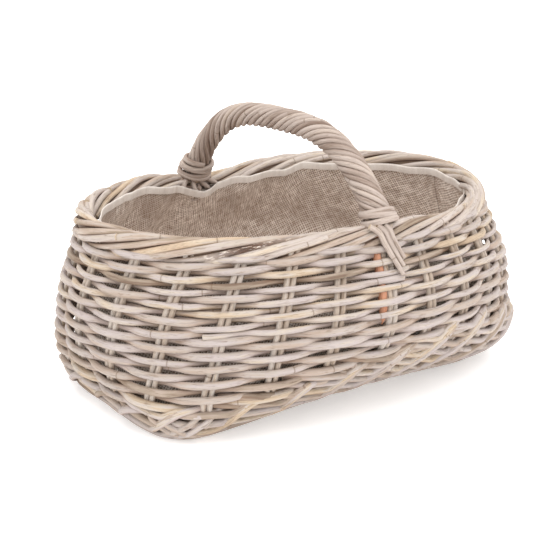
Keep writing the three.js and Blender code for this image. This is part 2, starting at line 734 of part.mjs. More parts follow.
// Cloth liner: a bag over the base and up the inside of the weave, open at the mouth.
const LINER_OUTSIDE = WEAVE_REACH + WEAVER_RADIUS + LINER_GAP;
const FLOOR_HEIGHT = HOOP_HEIGHT + BASE_ROD_RADIUS * Math.cos(Math.PI / MAT_SIDES) + WEAVE_GAP + SEAT_GAP;

function linerSide(share, inset) {
  const ring = [];
  for (let step = 0; step < LINER_STEPS; step += 1) {
    const angle = FULL * step / LINER_STEPS;
    ring.push(wall(angle, share).addScaledVector(wallOut(angle, share), -inset));
  }
  return ring;
}

function linerFloor(scale, inset, lift) {
  return linerSide(LINER_LOW_SHARE, inset).map((point) => {
    const x = point.x * scale;
    return new THREE.Vector3(x, point.y * scale, FLOOR_HEIGHT + archAt(x) + lift);
  });
}

const linerRings = [];
for (let ring = 0; ring < FLOOR_RINGS; ring += 1) {
  const scale = mix(FLOOR_MIDDLE, FLOOR_EDGE, ring / (FLOOR_RINGS - 1));
  linerRings.push(linerFloor(scale, LINER_OUTSIDE, 0));
}
for (let level = 0; level <= LINER_LEVELS; level += 1) {
  linerRings.push(linerSide(mix(LINER_LOW_SHARE, LINER_TOP_SHARE, level / LINER_LEVELS), LINER_OUTSIDE));
}
for (let level = LINER_LEVELS; level >= 0; level -= 1) {
  const share = mix(LINER_LOW_SHARE, LINER_TOP_SHARE, level / LINER_LEVELS);
  linerRings.push(linerSide(share, LINER_OUTSIDE + LINER_THICKNESS));
}
for (let ring = FLOOR_RINGS - 1; ring >= 0; ring -= 1) {
  const scale = mix(FLOOR_MIDDLE, FLOOR_EDGE, ring / (FLOOR_RINGS - 1));
  linerRings.push(linerFloor(scale, LINER_OUTSIDE + LINER_THICKNESS, LINER_THICKNESS));
}
add("liner", skin(linerRings, false), HESSIAN);

// Binding tape along the top edge of the liner.
const tapeRings = [];
for (let step = 0; step < LINER_STEPS; step += 1) {
  const angle = FULL * step / LINER_STEPS;
  const outward = wallOut(angle, LINER_TOP_SHARE);
  const rise = wallUp(angle, LINER_TOP_SHARE);
  const edge = wall(angle, LINER_TOP_SHARE).addScaledVector(rise, SEAT_GAP);
  const ring = [];
  for (const corner of [[0, 0], [0, TAPE_HEIGHT], [-TAPE_THICKNESS, TAPE_HEIGHT], [-TAPE_THICKNESS, 0]]) {
    const point = edge.clone().addScaledVector(outward, corner[0] - LINER_OUTSIDE);
    ring.push(point.addScaledVector(rise, corner[1]));
  }
  tapeRings.push(ring.reverse());
}
add("liner_tape", skin(tapeRings, true), TAPE_CLOTH);

console.log("weave reach", WEAVE_REACH.toFixed(2), "stake spacing", SPACING.toFixed(1));
console.log("climb", CLIMB.toFixed(1), "rounds", (CROSSINGS / STAKE_PAIRS).toFixed(1));

export default part;
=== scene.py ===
# %% [markdown]
# # Log carrier: a woven rattan basket with a twisted handle and a cloth liner
# Every CAD node stays where it is as the frame. Each rod, and the cloth, is built again here on the
# same wall surface, with smooth bends, uneven thickness and its own colour.

# %% Load the frame
import math
import bpy
import numpy as np
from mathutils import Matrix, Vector


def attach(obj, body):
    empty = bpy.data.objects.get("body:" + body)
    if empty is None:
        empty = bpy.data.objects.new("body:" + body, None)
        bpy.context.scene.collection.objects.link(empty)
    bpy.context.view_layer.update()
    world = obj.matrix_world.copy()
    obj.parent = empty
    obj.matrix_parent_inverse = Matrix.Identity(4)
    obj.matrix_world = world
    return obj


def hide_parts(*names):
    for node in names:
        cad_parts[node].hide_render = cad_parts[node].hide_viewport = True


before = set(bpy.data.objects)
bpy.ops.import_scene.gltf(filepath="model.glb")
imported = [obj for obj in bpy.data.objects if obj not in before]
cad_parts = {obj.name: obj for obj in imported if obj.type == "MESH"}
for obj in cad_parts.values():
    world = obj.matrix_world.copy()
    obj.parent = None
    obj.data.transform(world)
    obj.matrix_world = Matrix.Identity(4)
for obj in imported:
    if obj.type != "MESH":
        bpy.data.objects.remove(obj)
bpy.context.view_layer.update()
rng = np.random.default_rng(27)
FULL = 2 * math.pi
MM = 0.001
print("CAD nodes in the frame:", len(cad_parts))

# %% [markdown]
# ## The wall surface
# The wall is a stack of rounded oblongs: base, belly and mouth. A place on it is given by an angle
# and by a share of the height. Stake pairs are counted along the belly, and lean a little.

# %% Sizes shared with the CAD part
MOUTH = (481 * MM, 332 * MM, 2.05)
BELLY = (528 * MM, 408 * MM, 2.05)
BASE = (475 * MM, 260 * MM, 4.9)
UPPER_FULLNESS = 1.5
MOUTH_HEIGHT = 201.5 * MM
BELLY_SHARE = 0.505
END_DROP = 2 * MM
BACK_DIP = 14.5 * MM
FRONT_DIP = 1 * MM
DIP_SPREAD = 70 * MM
FOOT_ARCH = 14 * MM
LAND_SHARE = 0.86
HOOP_RADIUS = 5.5 * MM
HOOP_HEIGHT = HOOP_RADIUS * math.cos(math.pi / 6)
PAIRS = 25
FIRST_STAKE_SHARE = 0.4325
STAKE_LEAN = 35 * MM
LEAN_SHARE = 0.7
FRONT_PAIR = 18
BACK_PAIR = 6
PAIR_SHIFT = 4.3 * MM
BOW_SHIFT = 6.6 * MM
FRONT_FOOT_LEAN = 8 * MM
BACK_FOOT_LEAN = 2 * MM
FOOT_OUT = 5 * MM

# %% Wall functions
ANGLE_STEP = 0.01
SHARE_STEP = 0.02
PAIR_STEP = 0.02


def mix(start, end, share):
    return start + (end - start) * share


def unit(vectors):
    return vectors / np.maximum(np.linalg.norm(vectors, axis=-1, keepdims=True), 1e-12)


def ease(share):
    """A share from 0 to 1 with a soft start and end."""
    return share * share * (3 - 2 * share)


def soft_max(one, other, soft):
    """The larger of two values, with a rounded change from one to the other."""
    return 0.5 * (one + other + np.sqrt((one - other) ** 2 + soft))


def run_of(points):
    """Length along a path at each of its points."""
    return np.concatenate([[0], np.cumsum(np.linalg.norm(np.diff(points, axis=0), axis=1))])


def reach(plan, angle):
    """Distance from the middle to a rounded oblong of that length, width and power."""
    along = np.abs(np.cos(angle)) * 2 / plan[0]
    over = np.abs(np.sin(angle)) * 2 / plan[1]
    return (along ** plan[2] + over ** plan[2]) ** (-1 / plan[2])


def arch_at(x):
    """Height of the arched foot above its two resting ends."""
    return FOOT_ARCH * (1 - np.minimum(np.abs(x) * 2 / (BASE[0] * LAND_SHARE), 1) ** 2)


def wall(angle, share):
    """Places on the even wall at those angles and shares of the height."""
    angle, share = np.broadcast_arrays(np.asarray(angle, float), np.asarray(share, float))
    below = share < BELLY_SHARE
    climb = np.where(below, share / BELLY_SHARE, 1 - (share - BELLY_SHARE) / (1 - BELLY_SHARE))
    swell = np.maximum(np.sin(climb * math.pi / 2), 0) ** np.where(below, 1, UPPER_FULLNESS)
    plan = [mix(np.where(below, BASE[k], MOUTH[k]), BELLY[k], swell) for k in range(3)]
    far = reach(plan, angle)
    foot_x = reach(BASE, angle) * np.cos(angle)
    rim_x = reach(MOUTH, angle) * np.cos(angle)
    dip = np.where(np.sin(angle) > 0, BACK_DIP, FRONT_DIP)
    top = MOUTH_HEIGHT - END_DROP * (rim_x * 2 / MOUTH[0]) ** 2 - dip * np.exp(-(rim_x / DIP_SPREAD) ** 2)
    z = mix(HOOP_HEIGHT + arch_at(foot_x), top, share)
    return np.stack([far * np.cos(angle), far * np.sin(angle), z], axis=-1)


def wall_frame(angle, share):
    """Directions along the wall, up the wall and out of it."""
    along = unit(wall(angle + ANGLE_STEP, share) - wall(angle - ANGLE_STEP, share))
    above = wall(angle, np.minimum(share + SHARE_STEP, 1))
    below = wall(angle, np.maximum(share - SHARE_STEP, 0))
    up = unit(above - below)
    return along, up, unit(np.cross(along, up))


def turned(angle, degrees, width):
    """A soft bump round the basket, with its centre and width in degrees."""
    away = np.angle(np.exp(1j * (angle - math.radians(degrees))))
    return np.exp(-(away / math.radians(width)) ** 2)


ring = np.linspace(0, FULL, 1441)
ring_length = run_of(wall(ring, BELLY_SHARE))


def angle_at(pair, share):
    """Angle of a place counted in stake pairs, at a share of the height."""
    part = (np.asarray(pair, float) + FIRST_STAKE_SHARE) / PAIRS
    turns = np.floor(part)
    base = np.interp((part - turns) * ring_length[-1], ring_length, ring)
    return base + turns * FULL + STAKE_LEAN * (share - LEAN_SHARE) / reach(BELLY, base)


def beside(pair, share, aside):
    """Pair count of a place that many metres along the wall from a pair's line."""
    near = wall(angle_at(pair - PAIR_STEP, share), share)
    far = wall(angle_at(pair + PAIR_STEP, share), share)
    return pair + aside * 2 * PAIR_STEP / np.linalg.norm(far - near, axis=-1)


def uneven(angle, share):
    """How far the real wall stands out from the even one, at the places where the photo shows it.

    Each bump has its size in millimetres, and its centre and width in degrees."""
    foot = np.clip(1 - share / 0.28, 0, 1)
    mouth = np.clip((share - 0.75) / 0.25, 0, 1)
    right_belly = 3.2 * turned(angle, 338, 22) * np.exp(-((share - 0.56) / 0.2) ** 2)
    left_belly = 2.6 * turned(angle, 158, 18) * np.exp(-((share - 0.42) / 0.2) ** 2)
    ends = 5.0 * turned(angle, 163, 18) * mouth - 2.5 * turned(angle, 345, 12) * mouth
    corners = 12.0 * turned(angle, 334, 12) + 4.0 * turned(angle, 176, 18) - 3.0 * turned(angle, 206, 7)
    return (right_belly + left_belly + ends - corners * foot) * MM


def on_wall(pair, share, out=0.0):
    """A place off the uneven wall, moved straight out of it."""
    angle = angle_at(pair, share)
    normal = wall_frame(angle, share)[2]
    return wall(angle, share) + normal * (uneven(angle, share) + out)[..., None]


def level_on_wall(pair, share, out):
    """A place off the wall, moved out almost level so that rows stay straight."""
    angle = angle_at(pair, share)
    normal = wall_frame(angle, share)[2] * (1.0, 1.0, 0.3)
    return wall(angle, share) + unit(normal) * (uneven(angle, share) + out)[..., None]


print("belly is", round(float(ring_length[-1]), 3), "m round,", PAIRS, "stake pairs")

# %% [markdown]
# ## Rods
# A rod is a tube along a path. Its points carry where they are along and round the rod, so the
# materials can draw fibres, joints and specks that follow each rod, and a tint that sets its colour.
# The foot, the twisted rods and the border start seeds of their own, so that a change in one of them
# leaves the others alone.

# %% Rod builder
DRIFT_WAVES = 3
DRIFT_SUM = 1.8
END_BULGE = 0.2
HIDDEN_EDGE = 0.35
UP = (0, 0, 1)


def wander(length, size, wave):
    """A smooth random drift along a rod, with that size and wave length in metres."""
    total = np.zeros_like(length)
    for octave in range(DRIFT_WAVES):
        wave_length = wave * rng.uniform(0.6, 1.7)
        phase = rng.uniform(0, FULL)
        total += np.sin(length * FULL / wave_length + phase) / (1 + octave)
    return total * size / DRIFT_SUM


def rod(points, radius, guide, tint, sides=10, bark=None, taper=(1.0, 1.0), deep=0.0, inward=None):
    """One rod as a dict of arrays. The guide is a direction that is never along the rod.

    Deep tells how far the rod lies in the weave, from 0 to 1 at each point, and inward is the
    direction of the piece it lies against. Both set painted shade: the parts that lie deep and the
    side that is hidden are coloured darker, as if in shadow."""
    points = np.asarray(points, float)
    tangent = unit(np.gradient(points, axis=0))
    across = unit(np.cross(np.broadcast_to(guide, points.shape), tangent))
    lift = np.cross(tangent, across)
    along = run_of(points)
    share = along / along[-1]
    radii = np.asarray(radius) * np.interp(share, [0, 0.5, 1], [taper[0], 1, taper[1]])
    radii = radii * (1 + wander(along, 0.035, 0.05))
    oval = rng.uniform(0.94, 1.06)
    turn = np.arange(sides) * FULL / sides
    spokes = across[:, None] * (np.cos(turn) * oval)[None, :, None]
    spokes = spokes + lift[:, None] * (np.sin(turn) / oval)[None, :, None]
    skin = points[:, None] + spokes * radii[:, None, None]
    bulge = tangent * radii[:, None] * END_BULGE
    caps = [points[0] - bulge[0], points[-1] + bulge[-1]]
    barks = np.zeros(len(points)) if bark is None else np.asarray(bark, float)
    # Painted shade per point: deep parts and the side facing the inward piece are darkened as if in
    # shadow.
    painted_shade = np.broadcast_to(np.asarray(deep, float)[..., None], spokes.shape[:2])
    if inward is not None:
        facing = np.einsum("ijk,ik->ij", spokes, unit(np.broadcast_to(inward, points.shape)))
        painted_shade = 1 - (1 - painted_shade) * (1 - np.clip(facing + HIDDEN_EDGE, 0, 1) ** 1.2)
    return {"skin": skin, "along": along, "turn": turn, "caps": caps, "tint": tint, "bark": barks,
            "painted_shade": painted_shade, "seed": rng.uniform(0, 100)}


def dress(name, mesh, material, nodes):
    """An object of a finished mesh, which stands for the CAD nodes it is built from."""
    mesh.shade_smooth()
    mesh.materials.append(material)
    piece = bpy.data.objects.new(name, mesh)
    bpy.context.scene.collection.objects.link(piece)
    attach(piece, "root")
    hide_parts(*nodes)
    return piece


def mesh_of_rods(name, rods, material, nodes):
    """One piece of several rods, with a skin and two end caps each."""
    points, faces, place, look, painted_shade = [], [], [], [], []
    for one in rods:
        rings, sides = one["skin"].shape[:2]
        start = len(points)
        points.extend(one["skin"].reshape(-1, 3))
        round_rod = np.stack([np.cos(one["turn"]), np.sin(one["turn"])], axis=-1)
        for index in range(rings):
            for side in range(sides):
                place.append((one["along"][index], *round_rod[side]))
                look.append((one["seed"], one["tint"], one["bark"][index], 0.0))
        for index in range(rings - 1):
            low = start + index * sides
            for side in range(sides):
                after = (side + 1) % sides
                faces.append((low + side, low + after, low + sides + after, low + sides + side))
        painted_shade.extend(one["painted_shade"].reshape(-1))
        for end, at in ((0, 0), (1, rings - 1)):
            first = len(points)
            painted_shade.extend([0.0] * (sides + 1))
            points.extend(one["skin"][at])
            points.append(one["caps"][end])
            for side in range(sides):
                place.append((one["along"][at], *round_rod[side]))
                look.append((one["seed"], one["tint"], 0.0, 0.8))
            place.append((one["along"][at], 0.0, 0.0))
            look.append((one["seed"], one["tint"], 0.0, 1.0))
            for side in range(sides):
                pair = (first + side, first + (side + 1) % sides)
                faces.append((*(pair if end else pair[::-1]), first + sides))
    mesh = bpy.data.meshes.new(name)
    mesh.from_pydata([tuple(p) for p in points], [], faces)
    mesh.attributes.new("place", "FLOAT_VECTOR", "POINT").data.foreach_set("vector", np.ravel(place))
    mesh.attributes.new("look", "FLOAT_COLOR", "POINT").data.foreach_set("color", np.ravel(look))
    mesh.attributes.new("painted_shade", "FLOAT", "POINT").data.foreach_set("value", np.ravel(painted_shade))
    dress(name, mesh, material, nodes)


# %% [markdown]
# ## Materials
# Greyed rattan runs from lilac grey to straw. Long noise along a rod moves its colour, fine noise
# draws the fibres, a pulse every so often draws the joints of the cane, and cut ends are cream.
# Painted shade darkens what lies deep in the weave and the hidden sides of rods, as if in shadow.

# %% Material helpers
def colour(red, green, blue):
    """A colour given in screen values, as the linear values that sockets take."""
    values = [v / 255 for v in (red, green, blue)]
    return (*[v / 12.92 if v <= 0.04045 else ((v + 0.055) / 1.055) ** 2.4 for v in values], 1.0)


class Graph:
    """A material's nodes, with short names for the ones that are used often."""

    def __init__(self, name):
        self.material = bpy.data.materials.new(name)
        self.material.use_nodes = True
        self.tree = self.material.node_tree
        self.shader = self.tree.nodes["Principled BSDF"]

    def put(self, target, value):
        if isinstance(value, bpy.types.NodeSocket):
            self.tree.links.new(value, target)
        else:
            target.default_value = value

    def node(self, kind, **settings):
        made = self.tree.nodes.new(kind)
        for key, value in settings.items():
            setattr(made, key, value)
        return made

    def attribute(self, name):
        return self.node("ShaderNodeAttribute", attribute_name=name)

    def math(self, operation, a, b=0.0, c=0.0):
        made = self.node("ShaderNodeMath", operation=operation)
        for socket, value in zip(made.inputs, (a, b, c)):
            self.put(socket, value)
        return made.outputs[0]

    def scaled(self, vector, factors):
        made = self.node("ShaderNodeVectorMath", operation="MULTIPLY")
        self.put(made.inputs[0], vector)
        self.put(made.inputs[1], factors)
        return made.outputs[0]

    def noise(self, vector, seed, scale, detail=3.0, rough=0.6):
        made = self.node("ShaderNodeTexNoise", noise_dimensions="4D")
        values = {"Vector": vector, "W": seed, "Scale": scale, "Detail": detail, "Roughness": rough}
        for socket, value in values.items():
            self.put(made.inputs[socket], value)
        return made.outputs["Fac"]

    def span(self, value, low, high, start=0.0, end=1.0):
        made = self.node("ShaderNodeMapRange", interpolation_type="SMOOTHSTEP")
        for socket, number in zip(made.inputs, (value, low, high, start, end)):
            self.put(socket, number)
        return made.outputs[0]

    def ramp(self, value, stops):
        """A colour ramp. A stop is a position and a colour in screen values."""
        made = self.node("ShaderNodeValToRGB")
        while len(made.color_ramp.elements) < len(stops):
            made.color_ramp.elements.new(0.5)
        for element, (position, *shade) in zip(made.color_ramp.elements, stops):
            element.position = position
            element.color = colour(*shade)
        self.put(made.inputs[0], value)
        return made.outputs[0]

    def blend(self, share, low, high):
        made = self.node("ShaderNodeMix", data_type="RGBA")
        self.put(made.inputs["Factor"], share)
        self.put(made.inputs[6], low)
        self.put(made.inputs[7], high)
        return made.outputs[2]

    def bump(self, height, strength, distance):
        made = self.node("ShaderNodeBump")
        self.put(made.inputs["Strength"], strength)
        self.put(made.inputs["Distance"], distance)
        self.put(made.inputs["Height"], height)
        self.put(self.shader.inputs["Normal"], made.outputs[0])

    def surface(self, base, rough, specular):
        self.put(self.shader.inputs["Base Color"], base)
        self.put(self.shader.inputs["Roughness"], rough)
        self.put(self.shader.inputs["Specular IOR Level"], specular)


# %% Rattan and wood
JOINTS_PER_METRE = 4.3


def rattan(name, stops, joints=0.55):
    """Material of a family of rods, from the stops of its colour ramp and how dark its joints are."""
    g = Graph(name)
    place = g.attribute("place").outputs["Vector"]
    look = g.node("ShaderNodeSeparateColor")
    look_source = g.attribute("look")
    g.put(look.inputs[0], look_source.outputs["Color"])
    seed, tint, bark = look.outputs[0], look.outputs[1], look.outputs[2]
    cut = look_source.outputs["Alpha"]
    split = g.node("ShaderNodeSeparateXYZ")
    g.put(split.inputs[0], place)
    along = split.outputs[0]
    blotch = g.noise(g.scaled(place, (18, 0.6, 0.6)), seed, 1.0, 2.0)
    streak = g.noise(g.scaled(place, (45, 4.5, 4.5)), seed, 1.0, 4.0, 0.65)
    speck = g.noise(g.scaled(place, (95, 5, 5)), seed, 1.0, 2.0)
    shade = g.math("MULTIPLY_ADD", g.math("SUBTRACT", blotch, 0.5), 1.2, tint)
    shade = g.math("MULTIPLY_ADD", g.math("SUBTRACT", streak, 0.5), 0.7, shade)
    skin = g.ramp(shade, stops)
    skin = g.blend(g.span(streak, 0.52, 0.7, 0.0, 0.6), skin, colour(120, 101, 86))
    stain = g.noise(g.scaled(place, (60, 1.3, 1.3)), seed, 1.0, 3.0)
    skin = g.blend(g.span(stain, 0.57, 0.68, 0.0, 0.5), skin, colour(124, 103, 87))
    skin = g.blend(g.span(speck, 0.61, 0.7, 0.0, 0.6), skin, colour(96, 74, 60))
    beat = g.math("FRACT", g.math("MULTIPLY_ADD", along, JOINTS_PER_METRE, seed))
    from_joint = g.math("ABSOLUTE", g.math("SUBTRACT", beat, 0.5))
    joint = g.math("SUBTRACT", 1.0, g.span(from_joint, 0.001, 0.005))
    skin = g.blend(g.math("MULTIPLY", joint, joints), skin, colour(112, 90, 72))
    peeling = g.noise(g.scaled(place, (90, 1.4, 1.4)), seed, 1.0, 3.0)
    torn = g.math("MULTIPLY", bark, g.span(peeling, 0.38, 0.44))
    husk = g.ramp(g.noise(g.scaled(place, (150, 1.6, 1.6)), seed, 1.0, 3.0),
                  [(0.35, 70, 52, 44), (0.55, 110, 85, 71), (0.66, 232, 222, 210)])
    skin = g.blend(torn, skin, husk)
    grain = g.ramp(g.noise(g.scaled(place, (0, 9, 9)), seed, 1.0, 2.0),
                   [(0.35, 168, 146, 118), (0.65, 222, 206, 182)])
    skin = g.blend(cut, skin, grain)
    # Painted shade: a dark warm brown blended in where the rod lies deep or is hidden, as if in shadow.
    painted_shade = g.attribute("painted_shade").outputs["Fac"]
    shade_colour = g.ramp(painted_shade, [(0.3, 146, 110, 87), (0.9, 80, 58, 46)])
    skin = g.blend(g.math("MULTIPLY", painted_shade, 0.82), skin, shade_colour)
    g.surface(skin, g.span(streak, 0.2, 0.8, 0.52, 0.78), 0.22)
    height = g.math("MULTIPLY_ADD", joint, 0.8, streak)
    height = g.math("MULTIPLY_ADD", torn, 1.5, height)
    g.bump(height, 0.55, 0.5 * MM)
    return g.material


weaver_stops = [(0.05, 123, 103, 88), (0.22, 157, 142, 126), (0.38, 178, 160, 147), (0.52, 180, 169, 160),
                (0.66, 184, 173, 171), (0.8, 191, 180, 170), (0.93, 194, 178, 158), (1.0, 187, 167, 144)]
# The border's stops are the weaver's made a few percent lighter: painted light for the top of the basket,
# which catches more light.
lit_border_stops = [(0.05, 126, 105, 89), (0.22, 161, 145, 127), (0.38, 182, 163, 149), (0.52, 186, 174, 162),
                (0.66, 191, 179, 173), (0.8, 200, 188, 175), (0.93, 203, 186, 164), (1.0, 196, 174, 150)]
stake_stops = [(0.1, 166, 146, 127), (0.4, 195, 180, 166), (0.65, 205, 196, 188), (0.9, 200, 179, 155)]
handle_stops = [(0.1, 128, 109, 97), (0.35, 165, 148, 137), (0.6, 187, 173, 164), (0.9, 194, 178, 164)]
wood_stops = [(0.1, 176, 120, 92), (0.5, 200, 143, 114), (0.9, 216, 166, 138)]
WEAVER = rattan("Weaver_rattan", weaver_stops)
BORDER = rattan("Border_rattan", lit_border_stops)
STAKE = rattan("Stake_rattan", stake_stops)
HANDLE = rattan("Handle_rattan", handle_stops)
WOOD = rattan("Peeled_wood", wood_stops, joints=0.0)
print("rod materials:", [m.name for m in (WEAVER, BORDER, STAKE, HANDLE, WOOD)])

# %% [markdown]
# ## Stakes
# Two legs side by side from the foot up into the border. At the handle the pair stands a little
# aside, because the bow's tapered end sits next to it.

# %% Build the stakes
BOW_SIDE = {FRONT_PAIR: -1, BACK_PAIR: 1}
STAKE_HALF_GAP = 3.35 * MM
STAKE_OUT = 1.4 * MM
STAKE_LENGTH = 0.2


def shift_of(pair):
    """How far a pair stands aside of its line, to make room for the bow."""
    return -BOW_SIDE[pair] * PAIR_SHIFT if pair in BOW_SIDE else 0.0


stake_shares = np.linspace(0.0, 1.0, 42)
stake_run = stake_shares * STAKE_LENGTH
for pair in range(PAIRS):
    legs = []
    for side in (-1, 1):
        aside = shift_of(pair) + side * STAKE_HALF_GAP + wander(stake_run, 0.35 * MM, 0.09)
        spot = beside(np.full_like(stake_shares, pair), stake_shares, aside)
        sway = STAKE_OUT + wander(stake_run, 0.5 * MM, 0.05)
        path = on_wall(spot, stake_shares, sway)
        guide = wall_frame(angle_at(spot, stake_shares), stake_shares)[0]
        legs.append(rod(path, rng.uniform(3.0, 3.45) * MM, guide, rng.uniform(0.25, 0.8), 9))
    name = f"stake_pair_{pair + 1:02d}"
    mesh_of_rods(name.capitalize(), legs, STAKE, [name])
print("stake pairs:", PAIRS)

# %% [markdown]
# ## Woven rods
# One spiral goes over a pair and under the next. Rows lie closer towards the mouth. The spiral is
# cut into rods: most ends hide behind a stake, some show their cut face on the outside. The lowest
# rows pass behind the bundles of the foot.

# %% Build the woven rods
BUNDLE_PITCH = 0.053
BUNDLE_COVER = 0.85
BEHIND_BUNDLE = -3 * MM
PAIR_LENGTH = 0.05
ROUNDS = 25
FIRST_ROW = 0.045
LAST_ROW = 0.945
ROW_CLOSING = 0.16
WEAVE_REACH = 4.9 * MM
WEAVE_LIFT = 2.4 * MM
WEAVER_RADIUS = 4.05 * MM
WEAVER_NODES = 7
STEPS_PER_PAIR = 9
SHOWN_LAP = 0.3
HIDDEN_LAP = 1.0
HIDDEN_DEPTH = -1.45
LAP_EASE = 0.8
SHOW_EASE = 0.6
SHOW_BEFORE = 0.9
BARK_PAIRS = 0.8
crossings = ROUNDS * PAIRS


def bundle_rods(angle):
    """How many rods lie over each other in the foot at an angle: most along the front."""
    return 2.0 + 4.8 * turned(np.asarray(angle), 280, 58)


def row_share(count):
    """Height share of the spiral at a count of crossings."""
    part = count / crossings
    return mix(FIRST_ROW, LAST_ROW, part * (1 + ROW_CLOSING) - ROW_CLOSING * part ** 2)


cuts = [0]
while cuts[-1] < crossings:
    cuts.append(min(cuts[-1] + int(rng.integers(10, 17)) * 2, crossings))
groups = [[] for _ in range(WEAVER_NODES)]
for first, last in zip(cuts[:-1], cuts[1:]):
    show_start, show_end = rng.random(2) < (0.09, 0.15)
    begin = first - (SHOWN_LAP if show_start else HIDDEN_LAP)
    stop = last + (SHOWN_LAP if show_end else HIDDEN_LAP)
    count = np.linspace(begin, stop, int((stop - begin) * STEPS_PER_PAIR) + 1)
    weave = -np.cos(math.pi * count)
    weave = np.sign(weave) * np.abs(weave) ** 0.8
    if show_start:
        weave = mix(weave, 1.0, np.clip((begin + SHOW_BEFORE - count) / SHOW_EASE, 0, 1))
    else:
        weave = mix(weave, HIDDEN_DEPTH, np.clip((first - count) / LAP_EASE, 0, 1))
    if show_end:
        weave = mix(weave, 1.0, np.clip((count - stop + SHOW_BEFORE) / SHOW_EASE, 0, 1))
    else:
        weave = mix(weave, HIDDEN_DEPTH, np.clip((count - last) / LAP_EASE, 0, 1))
    length = count * PAIR_LENGTH
    share = row_share(count) + wander(length, 0.006, 0.22) + wander(length, 0.0035, 0.07)
    out = WEAVE_LIFT + weave * WEAVE_REACH + wander(length, 0.6 * MM, 0.12)
    bundle_top = bundle_rods(angle_at(count, share)) * BUNDLE_PITCH
    under = np.clip((bundle_top * BUNDLE_COVER - share) / 0.012, 0, 1)
    out = mix(out, np.minimum(out, BEHIND_BUNDLE), under)
    radius = WEAVER_RADIUS * rng.uniform(0.82, 1.14) * (1.06 - 0.22 * share) * (1 + 0.05 * weave)
    tint = float(np.clip(rng.normal(0.52, 0.2), 0.12, 0.94))
    bark = (rng.random() < 0.12) * np.exp(-((count - rng.uniform(begin, stop)) / BARK_PAIRS) ** 2)
    # Painted shade for where the rod passes behind the stakes, strongest at its innermost.
    deep = np.clip(0.5 - (out - WEAVE_LIFT) / (2 * WEAVE_REACH), 0, 1) ** 2 * 0.55
    path = level_on_wall(count, share, out)
    made = rod(path, radius, UP, tint, bark=bark, taper=(0.9, 0.88), deep=deep)
    groups[min(int(first / crossings * WEAVER_NODES), WEAVER_NODES - 1)].append(made)
for index, rods in enumerate(groups):
    name = f"weaver_{index + 1:02d}"
    mesh_of_rods(name.capitalize(), rods, WEAVER, [name])
print("woven rods:", sum(len(rods) for rods in groups), "in", ROUNDS, "rounds")

# %% [markdown]
# ## Foot
# Bundles of rods wrap the hoop, one at each stake pair. The rods of a bundle come from behind the one
# before, lie over each other and fall slowly, then turn up together along one slant and tuck in behind
# the weave. The bundles stand tallest along the front. At the near corner four more rods cross.

# %% Build the foot
rng = np.random.default_rng(5)
BUNDLE_LEAN = 0.55
BUNDLE_FALL = 0.25
BUNDLE_BEFORE = 1.3
BUNDLE_AFTER = 0.7
BUNDLE_TOP = 1.08
BUNDLE_STACK = 0.035
BEND_SOFT = 0.012
TOP_SOFT = 0.02
BUNDLE_TUCK = 0.6
BUNDLE_AT = (-BUNDLE_BEFORE, -1.0, -0.7, 0.0)
BUNDLE_OUT = (-2.5 * MM, 2.5 * MM, 6.4 * MM, 7.4 * MM)
CREST_OUT = 2.4 * MM
BUNDLE_SHARE = 0.012
LOWEST_SHARE = 0.004
LOWEST_CENTRE = 3.2 * MM
NEAR_CORNER = 14.5
CROSS_SHARE = 0.06
CROSS_SLOPE = 0.2
CROSS_RADIUS = 3.2 * MM
hoop_angle = np.linspace(0, FULL, 241)
no_share = 0 * hoop_angle
hoop_out = unit(np.cross(wall_frame(hoop_angle, no_share)[0], (0.0, 0.0, 1.0)))
hoop_path = wall(hoop_angle, no_share) + hoop_out * uneven(hoop_angle, no_share)[:, None]
foot_rods = [rod(hoop_path, HOOP_RADIUS * 0.9, UP, 0.5)]


def foot_path(pair, share, out):
    """Path of a rod on the foot, kept above the floor."""
    path = level_on_wall(pair, np.maximum(share, LOWEST_SHARE), out)
    path[:, 2] = np.maximum(path[:, 2], LOWEST_CENTRE)
    return path


for start in range(PAIRS):
    bundle = round(float(bundle_rods(angle_at(start, 0.05))))
    for index in range(bundle):
        level = (index + 0.25) / bundle
        bend = level * BUNDLE_LEAN
        steps = np.linspace(bend - BUNDLE_BEFORE, BUNDLE_LEAN + BUNDLE_AFTER, 48)
        slant = steps / BUNDLE_LEAN + BUNDLE_STACK * index
        falling = level - BUNDLE_FALL * (steps - bend)
        risen = soft_max(slant, falling, BEND_SOFT)
        risen = -soft_max(-risen, -BUNDLE_TOP, TOP_SOFT)
        pair = start + steps + rng.uniform(-0.04, 0.04)
        drift = wander(pair * PAIR_LENGTH, 0.003, 0.08)
        share = BUNDLE_SHARE + risen * bundle * BUNDLE_PITCH + drift
        out = np.interp(steps - bend, BUNDLE_AT, BUNDLE_OUT)
        out = out + (1.2 - level) * CREST_OUT * np.clip((steps - bend) / 0.25, 0, 1)
        tucked = np.clip((steps - BUNDLE_LEAN + 0.05) / BUNDLE_TUCK, 0, 1)
        out = mix(out, BEHIND_BUNDLE, ease(tucked))
        out = out * (0.5 + 0.5 * np.clip(share / 0.08, 0, 1))
        path = foot_path(pair, share, out)
        tint = float(np.clip(rng.normal(0.56, 0.22), 0.15, 0.95))
        # Painted shade for rods tucked in behind the weave, and through the inward direction for their
        # undersides.
        deep = np.clip(0.6 - out / (10 * MM), 0, 1)
        radius = rng.uniform(3.6, 4.2) * MM
        outward = wall_frame(angle_at(pair, share), np.maximum(share, LOWEST_SHARE))[2]
        under_side = -outward - (0.0, 0.0, 1.2)
        made = rod(path, radius, UP, tint, taper=(0.9, 0.9), deep=deep, inward=under_side)
        foot_rods.append(made)
